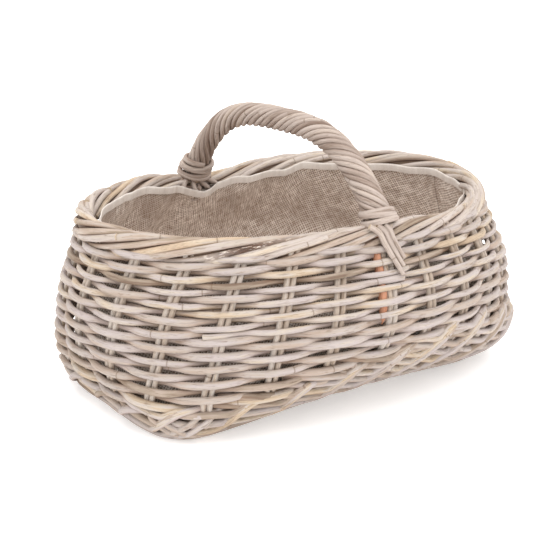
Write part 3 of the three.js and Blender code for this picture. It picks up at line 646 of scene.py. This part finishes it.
for slope, place in ((1, 0.0), (-1, 0.12), (1, 0.22), (-1, -0.1)):
    run = np.linspace(-0.6, 0.6, 28)
    share = np.clip(CROSS_SHARE + slope * run * CROSS_SLOPE, LOWEST_SHARE, 0.2)
    out = np.interp(share, [0.0, 0.05, 0.11, 0.17], [2.0, 9.5, 9.5, -3.0]) + place * 4
    path = foot_path(NEAR_CORNER + place + run, share, out * MM)
    foot_rods.append(rod(path, CROSS_RADIUS, UP, rng.uniform(0.3, 0.7)))
mesh_of_rods("Foot_hoop", foot_rods, WEAVER, ["base_hoop"])
print("rods in the foot:", len(foot_rods))

# %% [markdown]
# ## Base mat
# Long rods go over and under short ones inside the hoop. The photo doesn't show them, so the mat is
# kept plain.

# %% Build the base mat
MAT_RADIUS = 3.0 * MM
MAT_GAP = 6 * MM
MAT_WAVE = 0.12


def mat_half(side, share):
    """Half the length of a rod across the base, at a share of the other half."""
    return BASE[side] / 2 * (1 - abs(share) ** BASE[2]) ** (1 / BASE[2]) - MAT_GAP


mat_rods = []
for share in np.linspace(-0.78, 0.78, 12):
    x = np.linspace(-mat_half(0, share), mat_half(0, share), 60)
    y = np.full_like(x, share * BASE[1] / 2)
    ripple = np.sin(x * FULL / MAT_WAVE + rng.integers(2) * math.pi) * 1.6 * MM
    path = np.stack([x, y, HOOP_HEIGHT + arch_at(x) + ripple], -1)
    mat_rods.append(rod(path, MAT_RADIUS, UP, rng.uniform(0.3, 0.7), 8))
for share in np.linspace(-0.86, 0.86, 9):
    y = np.linspace(-mat_half(1, share), mat_half(1, share), 20)
    x = np.full_like(y, share * BASE[0] / 2)
    path = np.stack([x, y, HOOP_HEIGHT + arch_at(x)], -1)
    mat_rods.append(rod(path, MAT_RADIUS, UP, 0.5, 8))
mesh_of_rods("Base_mat", mat_rods, WEAVER, ["base_mat"])
print("rods in the base mat:", len(mat_rods))

# %% [markdown]
# ## Handle
# The bow runs from one tapered end in the wall, over the basket, to the other. All that lies round it
# is placed by a distance along the arch and a turn round it. The arch runs on a little below its back
# foot, where the ends of the twisted rods fan out.

# %% Arch of the handle
HANDLE_RISE = 92 * MM
HANDLE_FULLNESS = 3.2
BELOW_FOOT = (6 * MM, 12 * MM)


def bow_foot(pair, lean):
    """Foot of the bow, a little aside of its leg and out on the border."""
    mouth = np.array([1.0])
    angle = angle_at(beside(np.array([pair * 1.0]), mouth, BOW_SIDE[pair] * BOW_SHIFT + lean), mouth)
    outward = unit(np.cross(wall_frame(angle, mouth)[0], (0.0, 0.0, 1.0)))
    return (wall(angle, mouth) + outward * FOOT_OUT)[0]


front_foot = bow_foot(FRONT_PAIR, FRONT_FOOT_LEAN)
back_foot = bow_foot(BACK_PAIR, BACK_FOOT_LEAN)
part = np.linspace(0, 1, 721)
arch = front_foot + (back_foot - front_foot) * part[:, None]
crown = max(front_foot[2], back_foot[2]) + HANDLE_RISE
arch[:, 2] = mix(crown, arch[:, 2], np.abs(2 * part - 1) ** HANDLE_FULLNESS)
arch = np.concatenate([arch, back_foot - np.array([[0.0, 0.0, drop] for drop in BELOW_FOOT])])
arch_length = run_of(arch)
ARCH_TOTAL = arch_length[-3]
ARCH_STEP = 1.5 * MM


def arch_point(distance):
    """Places on the arch, at distances from its front foot."""
    return np.stack([np.interp(distance, arch_length, arch[:, k]) for k in range(3)], -1)


def arch_frame(distance):
    """Directions along the arch, sideways and out of it."""
    along = unit(arch_point(distance + ARCH_STEP) - arch_point(distance - ARCH_STEP))
    sideways = unit(np.cross(along, (0.0, 0.0, 1.0)))
    return along, sideways, np.cross(sideways, along)


def wound(distance, turn, far, upright=0.0):
    """Places round the arch. Upright turns the windings level, from 0 to 1."""
    along, sideways, outward = arch_frame(distance)
    level = np.sign(along[:, 2:3]) * np.array([[0.0, 0.0, 1.0]])
    along = unit(mix(along, level, upright))
    outward = np.cross(sideways, along)
    spoke = sideways * np.cos(turn)[:, None] + outward * np.sin(turn)[:, None]
    return arch_point(distance) + spoke * np.asarray(far)[..., None], spoke


print("arch is", round(float(ARCH_TOTAL), 3), "m long")

# %% Bow
LEG_STEPS = 30
BOW_STEPS = 90
BOW_RADIUS = 7.0 * MM
BOW_INSET = 4 * MM
leg_shares = np.linspace(0.94, 0.52, LEG_STEPS)


def bow_leg(pair):
    """Path of the bow's end down the wall, beside a stake pair."""
    spot = beside(np.full(LEG_STEPS, pair * 1.0), leg_shares, BOW_SIDE[pair] * BOW_SHIFT)
    return on_wall(spot, leg_shares)


middle = np.linspace(BOW_INSET, ARCH_TOTAL - BOW_INSET, BOW_STEPS)
bow_path = np.concatenate([bow_leg(FRONT_PAIR)[::-1], arch_point(middle), bow_leg(BACK_PAIR)])
leg_radius = np.interp(leg_shares, [0.52, 0.55, 0.61, 0.8, 1.0], [0.6, 2.8, 4.9, 5.0, 4.4]) * MM
bow_radius = np.concatenate([leg_radius[::-1], np.full(BOW_STEPS, BOW_RADIUS), leg_radius])
bow = rod(bow_path, bow_radius, (1, 0, 0), 0.5, 14)
mesh_of_rods("Handle_bow", [bow], WOOD, ["handle_bow"])
print("bow is", round(float(bow["along"][-1]), 3), "m long with both ends")

# %% [markdown]
# ## Twisted rods
# Ten rods lie round the bow. Their slant falls from 38 degrees at the front foot to 17 at the back.
# Three of them are pieced: a new rod starts under the end of the old one. At the back foot the ends
# open into a fan.

# %% Build the twisted rods
rng = np.random.default_rng(6)
TWISTS = 10
TWIST_REACH = 10.7 * MM
TWIST_RADIUS = 2.95 * MM
TWIST_ENDS = 13 * MM
TWIST_PAST = 7 * MM
TWIST_SPLICE = 12 * MM
SPLICE_LIFT = 1.5 * MM
SPLICE_SINK = 4 * MM
FAN = 22 * MM
FAN_OUT = 12 * MM
FAN_WIDER = 1.2
BREAKS = {2: 0.5, 5: 0.4, 8: 0.3}
distance = np.linspace(TWIST_ENDS, ARCH_TOTAL + TWIST_PAST, 160)
fan_share = np.clip((distance - ARCH_TOTAL - TWIST_PAST + FAN) / FAN, 0, 1) ** 0.8
fan_out = FAN_OUT * fan_share
thicker = 1.3 * MM * np.clip(1 - distance / ARCH_TOTAL / 0.4, 0, 1)
slant = np.radians(np.interp(distance / ARCH_TOTAL, [0, 0.2, 0.5, 0.75, 1], [38, 37, 32, 27, 17]))
turning = np.concatenate([[0], np.cumsum(np.tan(slant[1:]) / TWIST_REACH * np.diff(distance))])
for strand in range(TWISTS):
    turn = FULL * strand / TWISTS + turning + wander(distance, 0.035, 0.1)
    faces_in = np.clip(0.5 - wound(distance, turn, 0 * distance)[1][:, 1], 0, 1)
    far = TWIST_REACH + fan_out * faces_in + thicker + wander(distance, 0.25 * MM, 0.08)
    tint = float(np.clip(rng.normal(0.6, 0.13), 0.25, 0.9))
    radius = TWIST_RADIUS * rng.uniform(0.94, 1.05)
    spans = [(0, len(distance))]
    if strand in BREAKS:
        at = int(BREAKS[strand] * len(distance))
        spans = [(0, at + 2), (at - 6, len(distance))]
    rods = []
    for index, (a, b) in enumerate(spans):
        here = distance[a:b]
        ends_here = index < len(spans) - 1
        lifted = SPLICE_LIFT * np.exp(-((here - here[-1]) / TWIST_SPLICE) ** 2) * ends_here
        sunk = SPLICE_SINK * np.exp(-((here - here[0]) / TWIST_SPLICE) ** 2) * index
        path, spoke = wound(here, turn[a:b], far[a:b] + lifted - sunk)
        opened = fan_share[a:b] * np.clip(2 * faces_in[a:b], 0, 1)
        path[:, 0] += (path[:, 0] - back_foot[0]) * FAN_WIDER * opened
        path[:, 1] = mix(path[:, 1], np.minimum(path[:, 1], back_foot[1] - FAN), opened)
        # Painted shade darkens the side of each rod that faces the bow.
        rods.append(rod(path, radius, spoke, tint + 0.1 * index, 12, inward=-spoke))
    name = f"handle_twist_{strand + 1:02d}"
    mesh_of_rods(name.capitalize(), rods, HANDLE, [name])
print("twist turns:", round(float(turning[-1] / FULL), 2))

# %% [markdown]
# ## Bindings
# One rod is wound round each foot of the handle. Its windings wander a little and flare at the foot.
# A row gives the end, the number of turns, where they start, their pitch and their flare.

# %% Build the bindings
BIND_RADIUS = 3.2 * MM
BIND_REACH = TWIST_REACH + TWIST_RADIUS + 2.4 * MM
BIND_LEVEL = 0.45
BINDINGS = (("front", 3.3, 7 * MM, 5.2 * MM, 1.6 * MM), ("back", 4.3, 13.5 * MM, 5.4 * MM, 2.4 * MM))
for end, turns, first, pitch, flare in BINDINGS:
    wind = np.linspace(0, turns, int(turns * 36))
    spot = first + pitch * wind + 2.2 * MM * np.sin(wind * FULL + 0.8) * np.cos(math.pi * 0.9 * wind)
    if end == "back":
        spot = ARCH_TOTAL - spot
    far = BIND_REACH + flare * (1 - wind / turns) + wander(wind * 0.08, 0.7 * MM, 0.07)
    path, spoke = wound(spot, FULL * wind + 2.6, far, BIND_LEVEL)
    # Painted shade darkens the side of the binding that faces the bow.
    binder = rod(path, BIND_RADIUS, arch_frame(spot)[0], 0.55, inward=-spoke)
    name = f"handle_binding_{end}"
    mesh_of_rods(name.capitalize(), [binder], HANDLE, [name])
print("bindings:", len(BINDINGS))

# %% [markdown]
# ## Border
# Nine strands roll round each other along the mouth with a low slant, over a core of low tone that
# fills the gaps and is darkened further with painted shade. Near each foot of the handle they part to
# let the bow through. The border sags where the photo shows it, and one strand carries a strip of torn
# bark.

# %% Build the border
rng = np.random.default_rng(7)
BORDER_STRANDS = 9
BORDER_WIDE = 7.6 * MM
BORDER_TALL = 12.2 * MM
BORDER_SINK = 4.4 * MM
BORDER_RADIUS = 3.55 * MM
BORDER_TURNS = 2.05
BORDER_STEPS = 220
BORDER_LAP = 9
TUCK_DEPTH = 4.5 * MM
TUCK_LENGTH = 0.02
SHOW_LIFT = 1.2 * MM
SHOW_LENGTH = 0.03
BOW_ROOM = 8.2 * MM
CORE_RADIUS = 6.2 * MM
CORE_TALLER = 0.6
BARK_PLACE = (-0.145, -0.133)
BARK_LENGTH = 0.042
BARK_TURN = math.radians(35)


def rim_frame(angle):
    """Directions along the mouth, out of it and up."""
    along = wall_frame(angle, np.ones_like(angle))[0]
    outward = unit(np.cross(along, (0.0, 0.0, 1.0)))
    return along, outward, np.cross(outward, along)


def rim_point(angle, outward_part, lift_part):
    """Places off the mouth's line, moved that far out and up."""
    outward, lift = rim_frame(angle)[1:]
    return wall(angle, np.ones_like(angle)) + outward * outward_part[:, None] + lift * lift_part[:, None]


front_angle = math.atan2(front_foot[1], front_foot[0])
back_angle = math.atan2(back_foot[1], back_foot[0])
halves = (("right", front_angle, back_angle), ("left", back_angle, front_angle + FULL))
for side, start, stop in halves:
    angle = np.linspace(start - 0.05, stop + 0.05, BORDER_STEPS)
    centre = wall(angle, np.ones_like(angle))
    run = run_of(centre)
    near = np.minimum(*[np.linalg.norm(centre - foot, axis=1) for foot in (front_foot, back_foot)])
    clear = np.clip(1.6 - near / (10 * MM), 0, 1) * BOW_ROOM
    strands = [[], [], []]
    sag = (4.0 * turned(angle, 12, 20) - 4.2 * turned(angle, 242, 38) - 9 * turned(angle, 313, 26)) * MM
    tall = BORDER_TALL * (1 - 0.2 * turned(angle, 318, 26))
    bark_at = run[np.argmin(np.linalg.norm(centre[:, :2] - BARK_PLACE, axis=1))]
    for strand in range(BORDER_STRANDS):
        turn = FULL * (strand / BORDER_STRANDS + BORDER_TURNS * run / run[-1]) + wander(run, 0.24, 0.3)
        swell = 1 + wander(run, 0.12, 0.16)
        size = BORDER_RADIUS * rng.uniform(0.8, 1.18) * (1 + wander(run, 0.09, 0.2))
        if strand % 2:
            joins = np.sort(rng.integers(20, 200, 2))
        else:
            joins = [int(rng.integers(60, 160))]
        bark_turn = np.interp(bark_at, run, turn) - BARK_TURN
        has_bark = side == "left" and np.cos(bark_turn) > math.cos(FULL / BORDER_STRANDS / 2)
        stops = [0, *joins, BORDER_STEPS]
        for first, last in zip(stops[:-1], stops[1:]):
            cut = slice(first, min(last + BORDER_LAP, BORDER_STEPS))
            here = run[cut]
            tuck = TUCK_DEPTH * np.exp(-((here - here[0]) / TUCK_LENGTH) ** 2) if first else 0.0
            show = SHOW_LIFT * np.exp(-((here - here[-1]) / SHOW_LENGTH) ** 2)
            wide = BORDER_WIDE * swell[cut] - tuck + show
            outward = wide * np.cos(turn[cut])
            outward = np.where(outward >= 0, 1, -1) * np.maximum(np.abs(outward), clear[cut])
            lift = (tall[cut] * swell[cut] - tuck + show) * np.sin(turn[cut]) - BORDER_SINK
            bend = uneven(angle[cut], np.ones_like(here))
            path = rim_point(angle[cut], outward + bend, lift + sag[cut])
            # Painted shade darkens the side of each strand that faces the core.
            core = rim_point(angle[cut], bend, sag[cut] - BORDER_SINK) - path
            torn = np.exp(-((here - bark_at) / BARK_LENGTH) ** 2) * has_bark
            tint = float(np.clip(rng.normal(0.6, 0.18), 0.15, 0.96))
            strands[strand % 3].append(rod(path, size[cut], UP, tint, 12, torn, inward=core))
    core_path = rim_point(angle, uneven(angle, np.ones_like(run)), sag - BORDER_SINK)
    # A low tint and strong painted shade make the core dark, as if in the shadow of the strands.
    core_rod = rod(core_path, CORE_RADIUS, UP, 0.2, deep=0.8)
    core_rod["skin"][..., 2] += (core_rod["skin"][..., 2] - core_path[:, None, 2]) * CORE_TALLER
    strands[0].append(core_rod)
    for index, rods in enumerate(strands):
        name = f"border_{side}_{index + 1:02d}"
        mesh_of_rods(name.capitalize(), rods, BORDER, [name])
print("border strands on each side:", BORDER_STRANDS)

# %% [markdown]
# ## Tails
# The ends of three twisted rods come out of the front binding, bend over the border and lie on the
# weave. A row gives how far aside a tail starts and ends, in millimetres, and its end's height share.

# %% Build the tails
TAILS = ((-23, 3, 0.745), (-13, 6.5, 0.783), (-4, 10, 0.821))
TAIL_RADIUS = 3.05 * MM
TAIL_OVER_BORDER = 14.2 * MM
TAIL_OFF_WALL = 13.5 * MM
far_foot = float(np.hypot(front_foot[0], front_foot[1]))
part = np.linspace(0, 1, 40)
lean = np.radians(np.interp(part, [0, 0.45, 1], [40, 6, 0]))
lies = ease(np.clip((part - 0.3) / 0.3, 0, 1))[:, None]
for index, (aside_start, aside_end, end_share) in enumerate(TAILS):
    aside = mix(aside_start, aside_end, part) * MM
    share = np.interp(part, [0, 0.45, 1], [1, 0.97, end_share])
    angle = front_angle + aside / far_foot
    normal = wall_frame(angle, share)[2]
    lifted = rim_point(angle, TAIL_OVER_BORDER * np.cos(lean), TAIL_OVER_BORDER * np.sin(lean))
    lying = wall(angle, share) + normal * TAIL_OFF_WALL
    tail = rod(mix(lifted, lying, lies), TAIL_RADIUS, rim_frame(angle)[0], 0.6, taper=(1.05, 0.8))
    name = f"handle_tail_{index + 1:02d}"
    mesh_of_rods(name.capitalize(), [tail], HANDLE, [name])
print("tails:", len(TAILS))

# %% [markdown]
# ## Liner
# A hessian bag over the base and up the inside of the weave, with soft folds. Its threads lie aslant,
# and its edge waves along the mouth and dips below the handle's back foot.

# %% Cloth materials
SEAM_PLACE = 6 * MM
BIAS = math.radians(24)


def hessian():
    """Coarse cloth: two sets of threads, slubs along both, broad blotches that are partly soil and partly
    painted fold shade, pale flecks and one dark seam.
    """
    g = Graph("Hessian")
    place = g.attribute("cloth").outputs["Vector"]
    split = g.node("ShaderNodeSeparateXYZ")
    g.put(split.inputs[0], place)
    aslant = g.node("ShaderNodeMapping")
    g.put(aslant.inputs["Vector"], place)
    g.put(aslant.inputs["Rotation"], (0.0, 0.0, BIAS))
    bias = aslant.outputs[0]
    lie = g.node("ShaderNodeSeparateXYZ")
    g.put(lie.inputs[0], bias)
    wobble = g.noise(place, 3.0, 60.0, 2.0)
    threads = []
    for axis, pitch in ((0, 2.9 * MM), (1, 3.0 * MM)):
        at = g.math("MULTIPLY_ADD", wobble, 1.6 * MM, lie.outputs[axis])
        wave = g.math("SINE", g.math("MULTIPLY", at, FULL / pitch))
        threads.append(g.math("MULTIPLY_ADD", wave, 0.5, 0.5))
    over = g.math("MAXIMUM", threads[0], threads[1])
    slub = g.noise(g.scaled(bias, (60, 340, 1)), 1.0, 1.0, 3.0)
    slub_two = g.noise(g.scaled(bias, (340, 60, 1)), 5.0, 1.0, 3.0)
    yarn = g.math("MULTIPLY_ADD", g.math("ADD", slub, slub_two), 0.5, g.math("MULTIPLY", over, 0.3))
    yarn = g.math("MULTIPLY_ADD", g.math("SUBTRACT", yarn, 0.7), 1.7, 0.7)
    cloth = g.ramp(yarn, [(0.45, 136, 118, 106), (0.7, 205, 189, 176), (0.95, 250, 242, 234)])
    # Broad blotches: partly soil stains, partly painted shade that stands for the shading of folds.
    soil_and_fold_shade = g.noise(place, 9.0, 11.0, 3.0)
    cloth = g.blend(g.span(soil_and_fold_shade, 0.42, 0.62, 0.0, 0.5), cloth, colour(150, 129, 114))
    fleck = g.noise(g.scaled(place, (130, 420, 1)), 12.0, 1.0, 1.0)
    cloth = g.blend(g.span(fleck, 0.7, 0.76, 0.0, 0.7), cloth, colour(206, 194, 178))
    from_seam = g.math("ABSOLUTE", g.math("SUBTRACT", split.outputs[0], SEAM_PLACE))
    line = g.span(from_seam, 0.4 * MM, 1.1 * MM, 0.5, 0.0)
    seam = g.math("MULTIPLY", line, g.span(split.outputs[1], 0.2, 0.21))
    cloth = g.blend(seam, cloth, colour(84, 66, 58))
    g.surface(cloth, 0.95, 0.1)
    g.bump(over, 0.5, 0.4 * MM)
    return g.material


def tape_cloth():
    """Pale cloth with a fine weave and creases; the creases are bumps and also painted shade in the
    colour.
    """
    g = Graph("Binding_tape")
    place = g.attribute("cloth").outputs["Vector"]
    weave = g.noise(g.scaled(place, (900, 900, 1)), 2.0, 1.0, 2.0)
    crease = g.noise(g.scaled(place, (90, 30, 1)), 4.0, 1.0, 3.0)
    # The crease noise lightens and darkens the colour as painted crease shade, as well as bumping the
    # surface.
    shade = g.ramp(g.math("MULTIPLY_ADD", weave, 0.35, g.math("MULTIPLY", crease, 0.65)),
                   [(0.3, 204, 193, 184), (0.7, 236, 229, 222)])
    g.surface(shade, 0.85, 0.2)
    g.bump(crease, 0.5, 0.8 * MM)
    return g.material


# %% Liner shape
LINER_INSET = 11.2 * MM
LINER_FOOT = 0.085
LINER_FLOOR = 6.2 * MM
LINER_GIRTH = 1.42
LINER_AROUND = 360
LINER_LEVELS = 44
FLOOR_RINGS = 16
EDGE_DEGREES = (-24, -8, 0, 25, 50, 58, 74, 84, 91, 95, 98, 110, 120, 155, 175, 205, 325)
EDGE_SHARES = (0.957, 0.99, 0.998, 0.994, 1.003, 0.982, 1.004, 1.014, 1.014,
               0.98, 0.968, 0.987, 1.0, 1.005, 0.985, 0.955, 0.955)
around = np.arange(LINER_AROUND) * FULL / LINER_AROUND


def edge_share(angle):
    """Height share of the cloth's edge, which rises and falls along the mouth."""
    wave = 0.003 * np.sin(angle * 13 + 1.9) + 0.003 * np.sin(angle * 23 + 0.4)
    return wave + np.interp(np.degrees(angle), EDGE_DEGREES, EDGE_SHARES, period=360)


def fold_inset(angle, part):
    """Distance of the cloth from the wall, with folds that fade towards the floor."""
    soft = np.sin(angle * 9 + 1.2 * np.sin(angle * 3) + 2.2 * part)
    soft = soft + 0.6 * np.sin(angle * 17 + 3 * part + 1)
    crumple = np.sin(angle * 41 + 7 * part + 2 * np.sin(angle * 5)) * np.sin(part * 9 + angle * 6)
    at_ends = 5.5 * turned(angle, 168, 26) + 5.0 * turned(angle, 350, 26)
    over_border = (5 - at_ends) * MM * np.clip((part - 0.8) / 0.2, 0, 1) ** 2
    at_foot = 2.4 * MM * np.clip(1 - part / 0.14, 0, 1)
    fade = np.sin(np.clip(part, 0, 1) * math.pi * 0.8)
    folds = (2.8 * soft + 0.9 * crumple + 4.6) * MM * fade
    return LINER_INSET + at_foot + over_border + folds


def liner_point(angle, part, extra=0.0):
    """Places on the side of the bag, from its foot at part 0 to its edge at part 1."""
    share = mix(LINER_FOOT, edge_share(angle), part)
    normal = wall_frame(angle, share)[2]
    return wall(angle, share) - normal * (fold_inset(angle, part) + extra)[:, None]


levels = []
side_foot = liner_point(around, np.zeros_like(around))
for step in range(FLOOR_RINGS):
    scale = mix(0.01, 0.93, step / (FLOOR_RINGS - 1))
    ripple = 0.8 * MM * np.sin(around * 5 + step) * scale
    x = side_foot[:, 0] * scale
    height = HOOP_HEIGHT + LINER_FLOOR + arch_at(x) + ripple
    levels.append(np.stack([x, side_foot[:, 1] * scale, height], -1))
for step in range(LINER_LEVELS + 1):
    levels.append(liner_point(around, np.full_like(around, step / LINER_LEVELS)))
levels = np.array(levels)


def sheet_object(name, grid, climb, material, nodes, floor_rings=0):
    """A closed band of cloth from rings of points, with its threads measured along and up it.

    On the first rings, which lie on the floor of the basket, the threads run straight across."""
    rings, steps = grid.shape[:2]
    faces = []
    for ring_index in range(rings - 1):
        low = ring_index * steps
        high = low + steps
        for step in range(steps):
            after = (step + 1) % steps
            faces.append((low + step, low + after, high + after, high + step))
    girth = np.linspace(0, LINER_GIRTH, steps + 1)
    cloth = []
    for face in faces:
        on_floor = face[0] // steps < floor_rings - 1
        closes = face[0] % steps == steps - 1
        for corner in face:
            ring_index, step = divmod(corner, steps)
            if on_floor:
                cloth.append((*grid[ring_index, step, :2], 0.0))
            else:
                cloth.append((girth[steps if closes and step == 0 else step], climb[ring_index], 0.0))
    mesh = bpy.data.meshes.new(name)
    mesh.from_pydata([tuple(p) for p in grid.reshape(-1, 3)], [], faces)
    mesh.attributes.new("cloth", "FLOAT_VECTOR", "CORNER").data.foreach_set("vector", np.ravel(cloth))
    return dress(name, mesh, material, nodes)


liner_climb = run_of(levels[:, 0])
liner = sheet_object("Liner", levels, liner_climb, hessian(), ["liner"], FLOOR_RINGS)

# %% [markdown]
# ## Tape
# A folded tape binds the edge of the cloth. Its cross section goes up the outside, over the edge and
# down the inside, and puckers along its run.

# %% Build the tape
TAPE_HEIGHT = 9 * MM
TAPE_HALF = 0.6 * MM
TAPE_INSET = 1.0 * MM
TAPE_AROUND = 720
TAPE_SECTION = ((-1, -1), (-1.1, -0.4), (-1, 0.6), (-0.5, 1.0),
                (0.5, 1.0), (1, 0.6), (1.1, -0.4), (1, -1))
tape_angle = np.arange(TAPE_AROUND) * FULL / TAPE_AROUND
pucker = 1 + 0.25 * np.sin(tape_angle * 37) * np.sin(tape_angle * 11)
edge = liner_point(tape_angle, np.ones_like(tape_angle), TAPE_INSET)
up, normal = wall_frame(tape_angle, edge_share(tape_angle))[1:]
tape_rings = []
for across, rise in TAPE_SECTION:
    thick = across * TAPE_HALF * pucker * (1.35 if rise > -0.9 else 1.0)
    tape_rings.append(edge - normal * thick[:, None] + up * (rise * TAPE_HEIGHT / 2))
tape_climb = np.linspace(0, 0.02, len(TAPE_SECTION))
tape = sheet_object("Liner_tape", np.array(tape_rings), tape_climb, tape_cloth(), ["liner_tape"])
print("tape is", TAPE_HEIGHT * 1000, "mm high")

# %% [markdown]
# ## Stage, light and camera
# A white floor keeps the soft shadow. A sky that is brightest overhead and one wide sun stand for a
# studio tent. What the camera sees of the sky is plain white. The camera stands where the silhouette
# fits the photo.

# %% Floor
floor_mesh = bpy.data.meshes.new("Floor")
FLOOR_HALF = 30
floor_corners = [(x * FLOOR_HALF, y * FLOOR_HALF, 0) for x, y in ((-1, -1), (1, -1), (1, 1), (-1, 1))]
floor_mesh.from_pydata(floor_corners, [], [(0, 1, 2, 3)])
floor_graph = Graph("Floor_white")
floor_graph.surface((0.92, 0.92, 0.92, 1.0), 1.0, 0.0)
floor_graph.put(floor_graph.shader.inputs["Emission Color"], (1.0, 1.0, 1.0, 1.0))
floor_graph.put(floor_graph.shader.inputs["Emission Strength"], 0.385)
floor_mesh.materials.append(floor_graph.material)
floor = bpy.data.objects.new("Floor", floor_mesh)
bpy.context.scene.collection.objects.link(floor)
print("floor: plain white,", 2 * FLOOR_HALF, "m wide")

# %% Light
world = bpy.data.worlds.new("Studio")
world.use_nodes = True
bpy.context.scene.world = world
nodes = world.node_tree.nodes
links = world.node_tree.links
light_path = nodes.new("ShaderNodeLightPath")
mixer = nodes.new("ShaderNodeMixShader")
seen = nodes.new("ShaderNodeBackground")
seen.inputs["Color"].default_value = (1, 1, 1, 1)
sky = nodes["Background"]
sky.inputs["Color"].default_value = (1.0, 0.99, 0.98, 1)
heading = nodes.new("ShaderNodeTexCoord")
height_part = nodes.new("ShaderNodeSeparateXYZ")
brightness = nodes.new("ShaderNodeMapRange")
brightness.inputs["To Min"].default_value = 0.62
brightness.inputs["To Max"].default_value = 1.93
links.new(heading.outputs["Generated"], height_part.inputs[0])
links.new(height_part.outputs["Z"], brightness.inputs["Value"])
links.new(brightness.outputs[0], sky.inputs["Strength"])
shows_white = light_path.outputs["Is Camera Ray"]
for ray in ("Is Glossy Ray", "Is Transmission Ray"):
    either = nodes.new("ShaderNodeMath")
    either.operation = "MAXIMUM"
    links.new(shows_white, either.inputs[0])
    links.new(light_path.outputs[ray], either.inputs[1])
    shows_white = either.outputs[0]
links.new(shows_white, mixer.inputs[0])
links.new(sky.outputs[0], mixer.inputs[1])
links.new(seen.outputs[0], mixer.inputs[2])
links.new(mixer.outputs[0], nodes["World Output"].inputs[0])
sun = bpy.data.lights.new("Wide_sun", "SUN")
sun.energy = 0.7
sun.angle = math.radians(60)
sun_object = bpy.data.objects.new("Wide_sun", sun)
sun_object.rotation_euler = Vector((0.12, 0.6, -1.0)).to_track_quat("-Z", "Y").to_euler()
bpy.context.scene.collection.objects.link(sun_object)
bpy.context.scene.view_settings.view_transform = "Standard"
print("light: a sky that is brightest overhead and one wide sun")

# %% Camera
camera_data = bpy.data.cameras.new("Camera")
camera_data.sensor_width = 36
camera_data.lens = 86.26
camera = bpy.data.objects.new("Camera", camera_data)
camera.location = (-0.8452, -1.1497, 0.5580)
camera.rotation_euler = Vector((0.5550, 0.7802, -0.2979)).to_track_quat("-Z", "Y").to_euler()
bpy.context.scene.collection.objects.link(camera)
bpy.context.scene.camera = camera
print("camera is", round(camera.location.length, 2), "m from the middle of the basket's foot")
